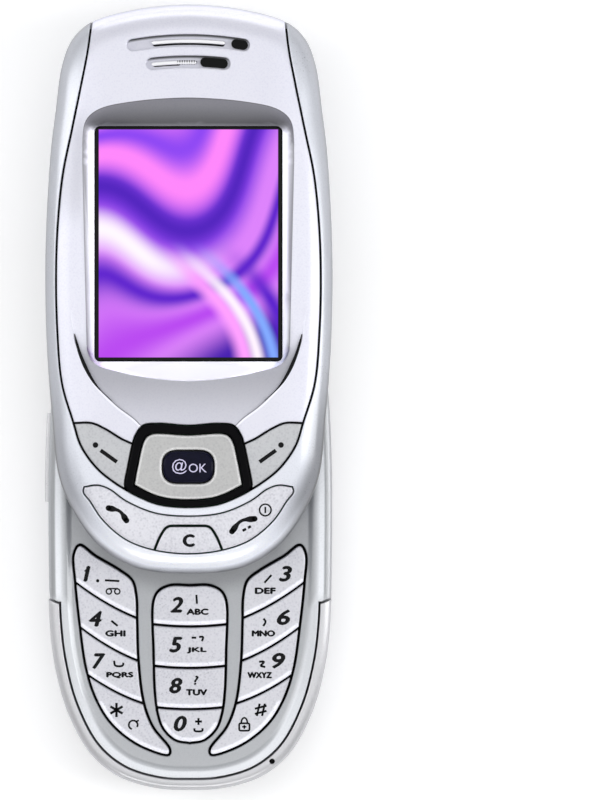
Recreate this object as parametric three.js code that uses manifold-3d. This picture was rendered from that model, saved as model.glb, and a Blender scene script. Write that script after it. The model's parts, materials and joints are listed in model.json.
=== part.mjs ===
// Slider phone: a display half that slides on a keypad half, shown open and lying on its back.
// Millimetres. X runs across the phone, +Y towards its top end, +Z out of the display.
// The origin is the centre of the keypad half's flat back.

import * as THREE from "three";
import { mergeVertices } from "three/addons/utils/BufferGeometryUtils.js";
import Module from "manifold-3d";

const wasm = await Module();
wasm.setup();

// Overall sizes
const halfWidth = 23;
const baseHalfLength = 45;
const baseThickness = 12.2;
const sliderHalfLength = 45.6;
const sliderThickness = 9.2;
const slideGap = 0.6;
const closedOffset = 0.5;
const slideTravel = 35.4;
const openOffset = closedOffset + slideTravel;

// Clearances
const seam = 0.26;
const keyGap = 0.3;
const seat = 0.1;
const overrun = 1;
const runningGap = 0.35;

// Rounding of the two halves, each a quarter of an ellipse
const baseBackRound = { reach: 6, rise: 5.6, steps: 5 };
const baseFrontRound = { reach: 1.4, rise: 1.3, steps: 2 };
const sliderBackRound = { reach: 2.2, rise: 2.4, steps: 2 };
const sliderFrontRound = { reach: 5, rise: 4.4, steps: 5 };
const outlinePoints = 56;
const hollowPoints = 24;
const hollowSteps = 2;

// Walls and levels of the keypad half
const wall = 1.2;
const packTop = 5.8;
const bayFloor = 1;
const rimWidth = 1.9;
const trayInset = 3;
const traySlope = 1;
const trayDepth = 0.5;
const faceThickness = 0.9;
const boardThickness = 0.8;
const boardInset = 3.7;
const matThickness = 0.6;

// Levels of the display half
const recessDepth = 2.2;
const rearFloor = 0.9;
const sliderWall = 1.4;
const faciaThickness = 1.6;
const sliderSeamRise = 3.9;

// Shares that shape small things: a corner's reach along its side, and an edge left sharp
const cornerReachShare = 0.45;
const sharpShare = 0.001;

const sliderBack = baseThickness + slideGap;
const sliderFront = sliderBack + sliderThickness;
const sliderSeam = sliderBack + sliderSeamRise;
const trayFloor = baseThickness - trayDepth;
const faceUnder = trayFloor - faceThickness;
const bayFloorLow = packTop + seam;
const bayFloorTop = bayFloorLow + bayFloor;
const frontLow = bayFloorTop + seam;

// Keys of the keypad half
const numberKey = {
  proud: 0.45, bevel: 0.35, flange: 0.45, flangeThickness: 0.5, travel: 0.35,
  plungerRadius: 1, plungerLength: 0.2, bow: 0.5,
};
const volumeKey = { proud: 0.45, length: 14.4, middleShare: 0.196, height: 2.4, depth: 2.4, level: 8.2 };

// Latch, thumb recess and slots on the back
const latch = {
  ringOuter: 6.7, ringInner: 6, thickness: 2.6, flange: 0.6, flangeThickness: 0.8, sunk: 0.35,
};
const scoop = { flatShare: 0.935, offset: 0.3, depth: 0.9, run: 30 };
const grip = { halfWidth: 2.3, halfHeight: 0.6, offset: 2.3, depth: 0.3 };
const backSlot = { halfWidth: 0.65, halfHeight: 1.1, depth: 0.5 };
const backSlotShares = [0.43, -0.507];

// Carriage and rails of the slide
const carriage = {
  lowShare: 0.022, highShare: 0.542, web: 0.7, side: 1, lip: 1.9, lipThickness: 0.6, top: 2.85,
};
const rail = { leg: 0.6, foot: 1.6, footThickness: 0.5, sideGap: 0.3, lowShare: -0.7434, highShare: 0.4803 };
const slidePlate = { gap: 1.4, lowShare: -0.7434, highShare: 0.489, thickness: 1.5, cornerRadius: 0.6 };

// Camera island on the back of the display half
const cameraPlate = { thickness: 1.1 };
const cameraRim = { proud: 0.25, slope: 1.2 };
const lens = {
  xShare: -0.2065, yShare: 0.739, ringOuter: 3.35, ringInner: 2.6, depth: 3.2, sunk: 0.7, dome: 0.45,
  proud: 0.1,
};
const mirror = {
  xShare: 0.208, ovalHighShare: 0.9057, ovalLowShare: 0.6557, ovalHalfWidth: 3.75, gap: 0.15, dome: 0.55,
  rim: 0.35,
};
const flash = { yShare: 0.8816, halfWidth: 3.1, halfHeight: 1.45, dome: 0.35 };
const flashDomeShares = [[0.35, 0.6], [0.75, 0.2]];
const plug = { xShare: 0.639, yShare: 0.864, radius: 1.35, depth: 1, sunk: 0.12 };

// Display, earpiece and pad of the display half
const display = {
  windowThickness: 0.9, moduleThickness: 2.2, moduleInset: 0.5, cornerRadius: 1.1, archRadius: 3,
};
const bowl = { depth: 0.45 };
const earpiece = {
  upperHalfWidth: 9.65, upperShare: 0.8662, lowerHalfWidth: 6.6, lowerShare: 0.7917, height: 2, sag: 0.9,
  barHeight: 1, barThickness: 0.9, barSunk: 0.35, upperBarHalf: 5.9, lowerBarLow: -5.9, lowerBarHigh: 1.4,
};
const pad = {
  proud: 0.25, bevel: 0.3, under: 3.3, frameWall: 1.2,
  gimbalThickness: 0.6, gimbalHalfWidth: 5.4, gimbalHalfHeight: 4.2, gimbalCorner: 1.5,
};
const okButton = {
  halfWidth: 4, halfHeight: 2.5, levelShare: -0.6239, proud: 0.35, plungerRadius: 1.5, cornerRadius: 2.3,
};
const faceKey = { thickness: 3.4, plungerRadius: 1.1, plungerLength: 0.9, cornerRadius: 1 };

// Outlines as shares of half the width and half the length, right side from the bottom end to the top end
const baseShares = [
  [0, -1], [0.24, -0.993], [0.5, -0.952], [0.7, -0.87], [0.86, -0.722], [0.945, -0.57], [0.985, -0.42],
  [1, -0.15], [0.998, 0.2], [0.975, 0.43], [0.93, 0.62], [0.875, 0.8], [0.79, 0.91], [0.63, 0.962],
  [0.36, 0.988], [0, 1],
];
const sliderShares = [
  [0, -1], [0.365, -0.98], [0.63, -0.9], [0.8, -0.785], [0.905, -0.66], [0.953, -0.45], [0.99, -0.2],
  [1, 0.12], [0.965, 0.47], [0.93, 0.62], [0.883, 0.787], [0.815, 0.875], [0.69, 0.935], [0.4, 0.98], [0, 1],
];
const centreSideShares = [
  [0.795, -0.471], [0.876, -0.334], [0.909, -0.15], [0.918, 0.05], [0.905, 0.23], [0.87, 0.4], [0.809, 0.549],
  [0.739, 0.72], [0.696, 0.835], [0.675, 0.93],
];
const softkeyTopShares = [[0.669, -0.471], [0.577, -0.491], [0.459, -0.527], [0.384, -0.544]];
const softkeyLowShares = [[0.497, -0.684], [0.629, -0.631], [0.743, -0.551]];
const padLowShares = [[0, -0.764], [0.206, -0.754], [0.378, -0.715], [0.431, -0.691]];
const padSideShares = [[0.411, -0.61], [0.384, -0.544]];
const padTopShares = [[0.365, -0.515], [0.314, -0.481], [0.206, -0.474], [0, -0.481]];
const bandLowShares = [[0, -0.928], [0.244, -0.914], [0.431, -0.879], [0.591, -0.811], [0.683, -0.743]];
const bandTopShares = [
  [0.722, -0.694], [0.629, -0.688], [0.549, -0.701], [0.431, -0.743], [0.231, -0.785], [0, -0.796],
];
const clearShares = [[0, -0.96], [0.262, -0.95], [0.2, -0.87], [0.15, -0.83], [0, -0.83]];
const archShares = [
  [0, -0.327], [0.7, -0.264], [0.735, 0.5], [0.72, 0.59], [0.6, 0.635], [0.31, 0.658], [0, 0.667],
];
const windowShares = [
  [0, -0.256], [0.653, -0.256], [0.653, 0.45], [0.653, 0.568], [0.45, 0.568], [0.2, 0.568], [0, 0.568],
];
const bowlTopShare = -0.05;
const bowlShares = [
  [0, -0.47], [0.373, -0.457], [0.494, -0.411], [0.628, -0.343], [0.688, -0.298], [0.75, -0.237],
  [0.793, -0.169], [0.79, bowlTopShare], [0, bowlTopShare],
];
const bowlDeepShare = -0.24;
const bowlEndShare = -0.5;
const rockerPlungerShares = [0.478, -0.75];
const clearPlungerShare = -0.88;
const cameraPlateShares = [
  [0, 0.614], [0.233, 0.614], [0.36, 0.654], [0.45, 0.706], [0.498, 0.759], [0.498, 0.926], [0, 0.948],
];
const cameraRimShares = [
  [0, 0.546], [0.263, 0.563], [0.45, 0.605], [0.582, 0.671], [0.645, 0.739], [0.66, 0.818], [0.64, 0.9],
  [0.5, 0.94], [0, 0.96],
];
const rimRingShare = 0.333;
const recessTopShares = [[0.471, 0.579], [0.253, 0.528]];
const recessSideShare = 0.735;
const recessLowShare = -0.8;
const notchShares = [
  [0.822, -0.8], [0.822, 0.144], [0.849, 0.203], [0.948, 0.235], [1.1, 0.235], [1.1, -0.8],
];
const notchDepth = 0.8;

// Number keys: one side column and the middle column, shares of the keypad half
const sideColumnShares = [
  [0.147, -0.872], [0.3, -0.852], [0.45, -0.808], [0.575, -0.746], [0.665, -0.665], [0.73, -0.56],
  [0.775, -0.4],
  [0.806, -0.25], [0.815, -0.15], [0.775, -0.118], [0.663, -0.157], [0.491, -0.209], [0.405, -0.245],
  [0.376, -0.3], [0.37, -0.4], [0.36, -0.54], [0.323, -0.686], [0.259, -0.772], [0.14, -0.852],
];
const sideDividerShares = [
  [[0.36, -0.383], [0.81, -0.25]], [[0.35, -0.537], [0.78, -0.41]], [[0.31, -0.69], [0.73, -0.58]],
];
const middleColumnShares = [
  [0, -0.83], [0.1, -0.82], [0.185, -0.78], [0.225, -0.725], [0.245, -0.65], [0.255, -0.5], [0.256, -0.32],
  [0.22, -0.283], [0.14, -0.263], [0, -0.263],
];
const middleDividerShares = [
  [[-0.3, -0.4], [0.3, -0.4]], [[-0.3, -0.549], [0.3, -0.549]], [[-0.3, -0.697], [0.3, -0.697]],
];
const matTopShare = -0.08;

// Seams on the back of the keypad half, and the step at the end of the front housing
const packSeamShares = [[1.1, 0.32], [0.95, 0.405], [0.88, 0.45], [0.76, 0.473]];
const coverSideShares = [[0.692, 0.473], [0.69, 0.565], [0.665, 0.69], [0.637, 0.815], [0.63, 1.05]];
const stepShares = [[1.1, -0.29], [0.93, -0.325]];
const micHoleShares = [0.578, -0.895];
const micHole = { radius: 0.55, depth: 2.4 };

// Inner pieces of the keypad half
const cell = {
  flatShare: 0.912, lowShare: -0.633, highShare: 0.322, thickness: 2.7, lift: 0.6, cornerRadius: 2.5,
};
const contacts = { halfWidth: 5, gap: 1.1, length: 2.8, thickness: 1.1, slotShare: 0.125 };
const sim = {
  xShare: -0.087, yShare: -0.178, halfWidth: 12.5, halfLength: 7.5, thickness: 0.76,
  frame: 1.6, holderThickness: 1.15, corner: 2.4,
};
const speaker = {
  xShare: -0.33, radiusShare: 0.2435, gap: 0.6, thickness: 3.4, coneShare: 0.714, coneDepth: 0.9,
};
const motor = { xShare: 0.365, yShare: 0.724, radius: 1.75, length: 7.6, weight: 3, shaft: 0.4 };
const aerial = {
  halfWidthShare: 0.496, lowShare: 0.8756, length: 1.9, rise: 3, thickness: 0.8, feedHalfWidth: 1.2, feed: 1.8,
};
const mic = { xShare: 0.478, yShare: -0.787, radius: 2, thickness: 0.7 };
const shield = {
  halfWidthShare: 0.652, lowShare: 0.089, highShare: 0.8, thickness: 1.9, fence: 0.3, cornerRadius: 1,
};
const connector = { halfWidth: 4.9, depth: 3.4, height: 2.1, tongue: 0.6, wall: 0.45 };
const connectorCover = { halfWidth: 4.15, height: 2.6, depth: 2.2, cornerRadius: 0.9, level: 7.4 };
const mat = { domeRadius: 1.6, domeRise: 0.12 };

// Inner pieces of the display half
const functionBoard = { thickness: 0.8, inset: 2.8, highShare: 0.5987 };
const receiver = { halfWidth: 6.4, halfHeight: 2.2, levelShare: 0.8048, thickness: 2.2, cornerRadius: 1.9 };

const point = (x, y) => new THREE.Vector2(x, y);
const onBase = ([x, y]) => point(x * halfWidth, y * baseHalfLength);
const onSlider = ([x, y]) => point(x * halfWidth, y * sliderHalfLength + openOffset);
const alongBase = (share) => share * baseHalfLength;
const alongSlider = (share) => share * sliderHalfLength + openOffset;

// Places that other pieces follow
const backFlatHalfWidth = halfWidth - baseBackRound.reach;
const latchMiddle = onBase(packSeamShares.at(-1)).y;
const scoopMiddle = latchMiddle + scoop.offset;
const scoopRadius = backFlatHalfWidth * scoop.flatShare;
const recessHalfWidth = recessSideShare * halfWidth;
const carriageHalfWidth = recessHalfWidth - 2 * runningGap;
const railInner = carriageHalfWidth - carriage.side - rail.sideGap - rail.foot;
const cellHalfWidth = backFlatHalfWidth * cell.flatShare;
const aerialLow = alongBase(aerial.lowShare);
const speakerRadius = speaker.radiusShare * halfWidth;
const speakerPlace = point(speaker.xShare * halfWidth, aerialLow - speaker.gap - speakerRadius);
const motorPlace = onBase([motor.xShare, motor.yShare]);
const micPlace = onBase([mic.xShare, mic.yShare]);
const simPlace = onBase([sim.xShare, sim.yShare]);
const lensPlace = onSlider([lens.xShare, lens.yShare]);
const flashPlace = point(lensPlace.x, alongSlider(flash.yShare));
const plugPlace = onSlider([plug.xShare, plug.yShare]);
const mirrorLow = alongSlider(mirror.ovalLowShare);
const mirrorPlace = point(mirror.xShare * halfWidth, mirrorLow + mirror.ovalHalfWidth);
const okLevel = alongSlider(okButton.levelShare);
const earpieceUpper = alongSlider(earpiece.upperShare);
const earpieceLower = alongSlider(earpiece.lowerShare);

// A list of points on the right side, from bottom to top, closed by its mirror image
function bothSides(right) {
  const left = right.filter((p) => p.x > 0).map((p) => point(-p.x, p.y));
  return [...right, ...left.reverse()];
}

const mirrored = (outline) => outline.map((p) => point(-p.x, p.y)).reverse();

function smoothOutline(points, count) {
  const knots = points.map((p) => new THREE.Vector3(p.x, p.y, 0));
  const curve = new THREE.CatmullRomCurve3(knots, true, "centripetal");
  return curve.getSpacedPoints(count).slice(0, count).map((p) => point(p.x, p.y));
}

// An open line of points made smooth, both of its ends kept
function smoothLine(points, count) {
  const curve = new THREE.SplineCurve(points);
  return curve.getPoints(count);
}

// A polygon whose corners are rounded, the same number of points for each corner
function rounded(corners, radius, steps = 4) {
  const points = [];
  corners.forEach((corner, i) => {
    const before = corners[(i + corners.length - 1) % corners.length];
    const after = corners[(i + 1) % corners.length];
    const shareIn = Math.min(radius / corner.distanceTo(before), cornerReachShare);
    const shareOut = Math.min(radius / corner.distanceTo(after), cornerReachShare);
    const start = corner.clone().lerp(before, shareIn);
    const end = corner.clone().lerp(after, shareOut);
    points.push(...new THREE.QuadraticBezierCurve(start, corner, end).getPoints(steps));
  });
  return points;
}

const rectangle = (x0, x1, y0, y1) => [point(x0, y0), point(x1, y0), point(x1, y1), point(x0, y1)];

// The outline moved outwards along its normals, or inwards where the distance is negative
function grow(outline, distance) {
  return outline.map((p, i) => {
    const before = outline[(i + outline.length - 1) % outline.length];
    const after = outline[(i + 1) % outline.length];
    const into = p.clone().sub(before).normalize();
    const out = after.clone().sub(p).normalize();
    const bisector = point(into.y + out.y, -into.x - out.x);
    return bisector.multiplyScalar((2 * distance) / Math.max(bisector.lengthSq(), 1)).add(p);
  });
}

// A large convex outline drawn towards its centre, which can't cross itself
function shrink(outline, inset, halfLength, centre) {
  return outline.map((p) => point(
    p.x * (1 - inset / halfWidth),
    centre + (p.y - centre) * (1 - inset / halfLength),
  ));
}

// A closed surface through rings of equal point count, lowest ring first
function loft(rings) {
  const count = rings[0].outline.length;
  const positions = [];
  const index = [];
  for (const ring of rings) {
    for (const p of ring.outline) positions.push(p.x, p.y, ring.z);
  }
  for (let r = 0; r + 1 < rings.length; r += 1) {
    for (let i = 0; i < count; i += 1) {
      const a = r * count + i;
      const b = r * count + ((i + 1) % count);
      index.push(a, b, b + count, a, b + count, a + count);
    }
  }
  const last = (rings.length - 1) * count;
  const lowFace = THREE.ShapeUtils.triangulateShape(rings[0].outline.slice(), []);
  const highFace = THREE.ShapeUtils.triangulateShape(rings[rings.length - 1].outline.slice(), []);
  for (const [a, b, c] of lowFace) index.push(a, c, b);
  for (const [a, b, c] of highFace) index.push(last + a, last + b, last + c);
  const geometry = new THREE.BufferGeometry();
  geometry.setAttribute("position", new THREE.Float32BufferAttribute(positions, 3));
  geometry.setIndex(index);
  return geometry;
}

// A geometry as a solid that can be cut and joined
function solid(geometry) {
  const bare = geometry.clone();
  bare.deleteAttribute("normal");
  bare.deleteAttribute("uv");
  const merged = mergeVertices(bare);
  return new wasm.Manifold(new wasm.Mesh({
    numProp: 3,
    vertProperties: new Float32Array(merged.attributes.position.array),
    triVerts: new Uint32Array(merged.index.array),
  }));
}

function geometryOf(body) {
  const mesh = body.getMesh();
  const geometry = new THREE.BufferGeometry();
  geometry.setAttribute("position", new THREE.BufferAttribute(new Float32Array(mesh.vertProperties), 3));
  geometry.setIndex(new THREE.BufferAttribute(new Uint32Array(mesh.triVerts), 1));
  geometry.computeVertexNormals();
  return geometry;
}

const prism = (outline, low, high) => solid(loft([{ outline, z: low }, { outline, z: high }]));

// A prism whose upper edge is rounded off
function capped(outline, low, high, bevel) {
  return solid(loft([
    { outline, z: low },
    { outline, z: high - bevel },
    { outline: grow(outline, -bevel), z: high },
  ]));
}

function box(x0, x1, y0, y1, low, high) {
  const geometry = new THREE.BoxGeometry(x1 - x0, y1 - y0, high - low);
  geometry.translate((x0 + x1) / 2, (y0 + y1) / 2, (low + high) / 2);
  return solid(geometry);
}

// A turned piece whose axis is parallel to Z, from a profile of radius and height
function turned(profile, x, y, segments = 24) {
  const geometry = new THREE.LatheGeometry(profile.map(([r, z]) => point(r, z)), segments);
  geometry.rotateX(Math.PI / 2);
  geometry.translate(x, y, 0);
  return solid(geometry);
}

const disc = (x, y, radius, low, high, segments = 24) => turned(
  [[0, low], [radius, low], [radius, high], [0, high]], x, y, segments,
);

function drawn(profile, depth) {
  return new THREE.ExtrudeGeometry(new THREE.Shape(profile), { depth, bevelEnabled: false });
}

// A profile in X and Z carried along Y
function alongY(profile, low, high) {
  const geometry = drawn(profile, high - low);
  geometry.rotateX(Math.PI / 2);
  geometry.translate(0, high, 0);
  return solid(geometry);
}

// A profile in Y and Z carried along X, as wide as the phone and a little more
function acrossPhone(profile) {
  const reach = halfWidth + overrun;
  const geometry = drawn(profile, 2 * reach);
  geometry.rotateY(Math.PI / 2);
  geometry.rotateX(Math.PI / 2);
  geometry.translate(-reach, 0, 0);
  return solid(geometry);
}

// The rings of a rounded edge, from the flat face outwards
function edgeRings(round, face, direction, inset) {
  const rings = [];
  for (let i = 0; i <= round.steps; i += 1) {
    const turn = (Math.PI / 2) * (i / round.steps);
    rings.push({
      z: face + direction * round.rise * (1 - Math.cos(turn)),
      inset: inset + round.reach * (1 - Math.sin(turn)),
    });
  }
  return rings;
}

// One half of the phone: an outline with a rounded back edge and a rounded front edge
function pebble(outline, halfLength, centre, back, front, low, high, inset) {
  const rings = [...edgeRings(back, low, 1, inset), ...edgeRings(front, high, -1, inset).reverse()];
  return solid(loft(rings.map((ring) => ({
    z: ring.z,
    outline: shrink(outline, ring.inset, halfLength, centre),
  }))));
}

const baseOutline = smoothOutline(bothSides(baseShares.map(onBase)), outlinePoints);
const sliderOutline = smoothOutline(bothSides(sliderShares.map(onSlider)), outlinePoints);
const baseHollowOutline = smoothOutline(bothSides(baseShares.map(onBase)), hollowPoints);
const sliderHollowOutline = smoothOutline(bothSides(sliderShares.map(onSlider)), hollowPoints);
const baseShape = (inset) => shrink(baseOutline, inset, baseHalfLength, 0);
const sliderShape = (inset) => shrink(sliderOutline, inset, sliderHalfLength, openOffset);

const baseForm = pebble(
  baseOutline, baseHalfLength, 0, baseBackRound, baseFrontRound, 0, baseThickness, 0,
);
const sliderForm = pebble(
  sliderOutline, sliderHalfLength, openOffset, sliderBackRound, sliderFrontRound, sliderBack, sliderFront, 0,
);

const reachX = halfWidth + overrun;
const sliderReach = sliderHalfLength + overrun;
const slabSlider = (low, high) => box(
  -reachX, reachX, openOffset - sliderReach, openOffset + sliderReach, low, high,
);

// Regions of the keypad half's back: the battery pack and the cover above it
function packRegion(gap) {
  const right = packSeamShares.map(onBase);
  const low = -baseHalfLength - overrun;
  const outline = bothSides([point(right[0].x, low), ...right]);
  return grow(outline, -gap);
}

function coverRegion(gap) {
  return grow(bothSides(coverSideShares.map(onBase)), -gap);
}

// The battery bay side of both back covers, hollow above their wall
function hollowBack(region) {
  const round = { reach: baseBackRound.reach, rise: baseBackRound.rise - wall, steps: hollowSteps };
  const straight = { reach: sharpShare * wall, rise: sharpShare * wall, steps: 1 };
  const inner = pebble(baseHollowOutline, baseHalfLength, 0, round, straight, wall, packTop + overrun, wall);
  return inner.intersect(prism(region, wall, packTop + overrun));
}

// The thumb recess: a disc whose floor slopes down towards the phone's bottom end
function thumbRecess() {
  const low = scoopMiddle - scoopRadius;
  const wedge = acrossPhone([
    point(low - overrun, -overrun),
    point(low + scoop.run, -overrun),
    point(low + scoop.run, 0),
    point(low, scoop.depth),
    point(low - overrun, scoop.depth),
  ]);
  return wedge.intersect(disc(0, scoopMiddle, scoopRadius, -overrun, scoop.depth + overrun, 48));
}

const latchRing = () => turned([
  [latch.ringInner, 0], [latch.ringOuter, 0], [latch.ringOuter, wall], [latch.ringInner, wall],
  [latch.ringInner, 0],
], 0, latchMiddle, 40);

function gripBar(offset) {
  const y = latchMiddle + offset;
  const deep = latch.sunk + grip.depth;
  return box(-grip.halfWidth, grip.halfWidth, y - grip.halfHeight, y + grip.halfHeight, -overrun, deep);
}

function batteryPack() {
  const region = prism(packRegion(seam / 2), -overrun, packTop);
  let body = baseForm.intersect(region).subtract(hollowBack(packRegion(wall)));
  body = body.subtract(thumbRecess()).add(latchRing().intersect(region));
  body = body.subtract(gripBar(-grip.offset));
  const middle = onBase(backSlotShares);
  for (const side of [-1, 1]) {
    const x = side * middle.x;
    const slot = rounded(rectangle(
      x - backSlot.halfWidth, x + backSlot.halfWidth,
      middle.y - backSlot.halfHeight, middle.y + backSlot.halfHeight,
    ), backSlot.halfWidth, 2);
    body = body.subtract(prism(slot, -overrun, backSlot.depth));
  }
  return body;
}

function upperBackCover() {
  const region = prism(coverRegion(seam / 2), -overrun, packTop);
  let body = baseForm.intersect(region).subtract(hollowBack(coverRegion(wall)));
  body = body.subtract(thumbRecess()).add(latchRing().intersect(region));
  return body.subtract(disc(0, latchMiddle, latch.ringInner, -overrun, packTop + overrun, 40));
}

// The half disc that is pressed to free the battery, with a flange behind the cover
function latchButton() {
  const reach = 2 * latch.ringOuter;
  const above = (low) => box(-reach, reach, latchMiddle + low, latchMiddle + reach, 0, packTop);
  const face = disc(0, latchMiddle, latch.ringInner - seam, latch.sunk, latch.sunk + latch.thickness, 40);
  const low = wall + seam;
  const flange = disc(0, latchMiddle, latch.ringInner + latch.flange, low, low + latch.flangeThickness);
  const whole = face.intersect(above(seam)).add(flange.intersect(above(wall + 2 * seam)));
  return whole.subtract(gripBar(grip.offset));
}

// Where the front housing shows: all of the upper part, and inside the rim below the step
function frontRegion(gap, low) {
  const right = stepShares.map(onBase);
  const upper = grow(bothSides([right[1], right[0], point(right[0].x, baseHalfLength + overrun)]), gap);
  return prism(upper, low, baseThickness + overrun)
    .add(prism(grow(baseShape(rimWidth), gap), low, baseThickness + overrun));
}

const connectorOpening = (gap) => {
  const half = connectorCover.halfWidth + gap;
  const outline = rounded(rectangle(
    -half, half, connectorCover.level - gap, connectorCover.level + connectorCover.height + gap,
  ), connectorCover.cornerRadius);
  return alongY(outline, -baseHalfLength - overrun, connectorDeep() + overrun);
};

// How far in from the bottom end the connector's face lies
function connectorDeep() {
  return -baseHalfLength + rimWidth + 2 * wall;
}

function rearHousing() {
  let body = baseForm.subtract(prism(packRegion(-seam / 2), -overrun, bayFloorLow));
  body = body.subtract(prism(coverRegion(-seam / 2), -overrun, bayFloorLow));
  body = body.subtract(frontRegion(seam / 2, bayFloorTop));
  body = body.subtract(connectorOpening(seam));
  const hole = onBase(micHoleShares);
  return body.subtract(disc(
    hole.x, hole.y, micHole.radius, baseThickness - micHole.depth, baseThickness + overrun, 12,
  ));
}

const sideColumn = sideColumnShares.map(onBase);
const middleColumn = bothSides(middleColumnShares.map(onBase));
const columns = [
  { names: ["1", "4", "7", "star"], outline: mirrored(sideColumn), dividers: sideDividerShares, side: -1 },
  { names: ["2", "5", "8", "0"], outline: middleColumn, dividers: middleDividerShares, side: 1 },
  { names: ["3", "6", "9", "hash"], outline: sideColumn, dividers: sideDividerShares, side: 1 },
];

function frontHousing() {
  const low = frontLow;
  let body = baseForm.intersect(frontRegion(-seam / 2, low));
  body = body.subtract(prism(baseShape(rimWidth + wall), low - overrun, faceUnder));
  const tray = solid(loft([
    { outline: baseShape(trayInset + traySlope), z: trayFloor },
    { outline: baseShape(trayInset), z: baseThickness },
    { outline: baseShape(trayInset), z: baseThickness + overrun },
  ]));
  body = body.subtract(tray);
  for (const column of columns) {
    const room = grow(column.outline, keyGap / 2);
    body = body.subtract(prism(room, faceUnder - overrun, baseThickness + overrun));
  }
  body = body.subtract(connectorOpening(seam));
  return body.subtract(volumeKeySpace());
}

// The strip of a column that one key takes, between two bowed dividers
function keyStrip(column, place, gap) {
  const reach = 2 * baseHalfLength;
  const line = (shares, shift) => {
    const [from, to] = shares.map(([x, y]) => onBase([x * column.side, y]));
    const ends = from.x < to.x ? [from, to] : [to, from];
    const middle = ends[0].clone().lerp(ends[1], 0.5);
    middle.y -= numberKey.bow;
    return smoothLine([ends[0], middle, ends[1]], 3).map((p) => point(p.x, p.y + shift));
  };
  const dividers = column.dividers;
  const left = -halfWidth;
  const right = halfWidth;
  const top = place === 0
    ? [point(left, reach), point(right, reach)]
    : line(dividers[place - 1], -gap);
  const bottom = place === dividers.length
    ? [point(left, -reach), point(right, -reach)]
    : line(dividers[place], gap);
  return [...bottom, ...top.reverse()];
}

const keyTop = trayFloor + numberKey.proud;
const flangeHigh = faceUnder - seam;
const flangeLow = flangeHigh - numberKey.flangeThickness;
const plungerLow = flangeLow - numberKey.plungerLength;
const matHigh = plungerLow - numberKey.travel - seat;
const boardHigh = matHigh - matThickness - seat;

function numberKeyBody(column, place) {
  const outline = grow(column.outline, -keyGap / 2);
  const cap = capped(outline, flangeLow, keyTop, numberKey.bevel)
    .intersect(capped(keyStrip(column, place, keyGap / 2), flangeLow, keyTop, numberKey.bevel));
  const flange = prism(grow(column.outline, numberKey.flange), flangeLow, flangeHigh)
    .intersect(prism(keyStrip(column, place, keyGap / 2), flangeLow, flangeHigh));
  const middle = keyMiddle(column, place);
  const plunger = disc(middle.x, middle.y, numberKey.plungerRadius, plungerLow, flangeHigh, 8);
  return cap.add(flange).add(plunger);
}

// The middle of one key: the middle of its solid's box
function keyMiddle(column, place) {
  const bounds = prism(column.outline, 0, 1).intersect(prism(keyStrip(column, place, 0), 0, 1)).boundingBox();
  return point((bounds.min[0] + bounds.max[0]) / 2, (bounds.min[1] + bounds.max[1]) / 2);
}

// The rubber mat under the keys, with a low dome under each plunger
function keyMat() {
  const outline = baseShape(boardInset);
  const low = matHigh - matThickness;
  const cut = box(
    -reachX, reachX, -baseHalfLength, alongBase(matTopShare), low - overrun, matHigh + overrun,
  );
  let body = prism(outline, low, matHigh - mat.domeRise).intersect(cut);
  for (const column of columns) {
    column.names.forEach((name, place) => {
      const middle = keyMiddle(column, place);
      body = body.add(disc(middle.x, middle.y, mat.domeRadius, low, matHigh, 6));
    });
  }
  const room = mic.radius + seat;
  const micRoom = box(
    micPlace.x - room, reachX, -baseHalfLength, micPlace.y + room, low - overrun, matHigh + overrun,
  );
  return body.subtract(micRoom).subtract(connectorRoom(low, matHigh));
}

// The notch in a flat inner piece that clears the connector
function connectorRoom(low, high) {
  const half = connector.halfWidth + seat;
  const back = connectorDeep() + connector.depth + seat;
  return box(-half, half, -baseHalfLength, back, low - overrun, high + overrun);
}

function mainBoard() {
  const low = boardHigh - boardThickness;
  const board = prism(baseShape(boardInset), low, boardHigh);
  return board.subtract(connectorRoom(low, boardHigh));
}

// A pressed can, open towards the board
function shieldCan() {
  const low = boardHigh + seat;
  const high = low + shield.thickness;
  const half = shield.halfWidthShare * halfWidth;
  const corners = rectangle(-half, half, alongBase(shield.lowShare), alongBase(shield.highShare));
  const outline = rounded(corners, shield.cornerRadius, 2);
  const space = prism(grow(outline, -shield.fence), low - overrun, high - shield.fence);
  return prism(outline, low, high).subtract(space);
}

// The socket at the bottom end, with a contact tongue in its mouth
function systemConnector() {
  const low = connectorCover.level;
  const high = low + connector.height;
  const front = connectorDeep();
  const back = front + connector.depth;
  const half = connector.halfWidth;
  const shell = box(-half, half, front, back, low, high);
  const inner = half - connector.wall;
  const mouth = box(
    -inner, inner, front - overrun, back - connector.wall, low + connector.wall, high - connector.wall,
  );
  const tongueHalf = inner - connector.wall;
  const tongueLow = low + (connector.height - connector.tongue) / 2;
  const tongue = box(
    -tongueHalf, tongueHalf, front + connector.wall, back, tongueLow, tongueLow + connector.tongue,
  );
  return shell.subtract(mouth).add(tongue);
}

// The rubber cover that closes the mouth, its face following the bottom end
function connectorCoverBody() {
  const half = connectorCover.halfWidth;
  const outline = rounded(rectangle(
    -half, half, connectorCover.level, connectorCover.level + connectorCover.height,
  ), connectorCover.cornerRadius);
  const bar = alongY(outline, -baseHalfLength - overrun, -baseHalfLength + connectorCover.depth);
  return bar.intersect(baseForm);
}

// The side key's space in the wall, and the key that fills it
function volumeKeySpace() {
  const x = -halfWidth;
  const half = volumeKey.length / 2 + keyGap;
  const middle = alongBase(volumeKey.middleShare);
  return box(
    x - overrun, x + volumeKey.depth + keyGap + overrun, middle - half, middle + half,
    volumeKey.level - keyGap, volumeKey.level + volumeKey.height + keyGap,
  );
}

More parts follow.
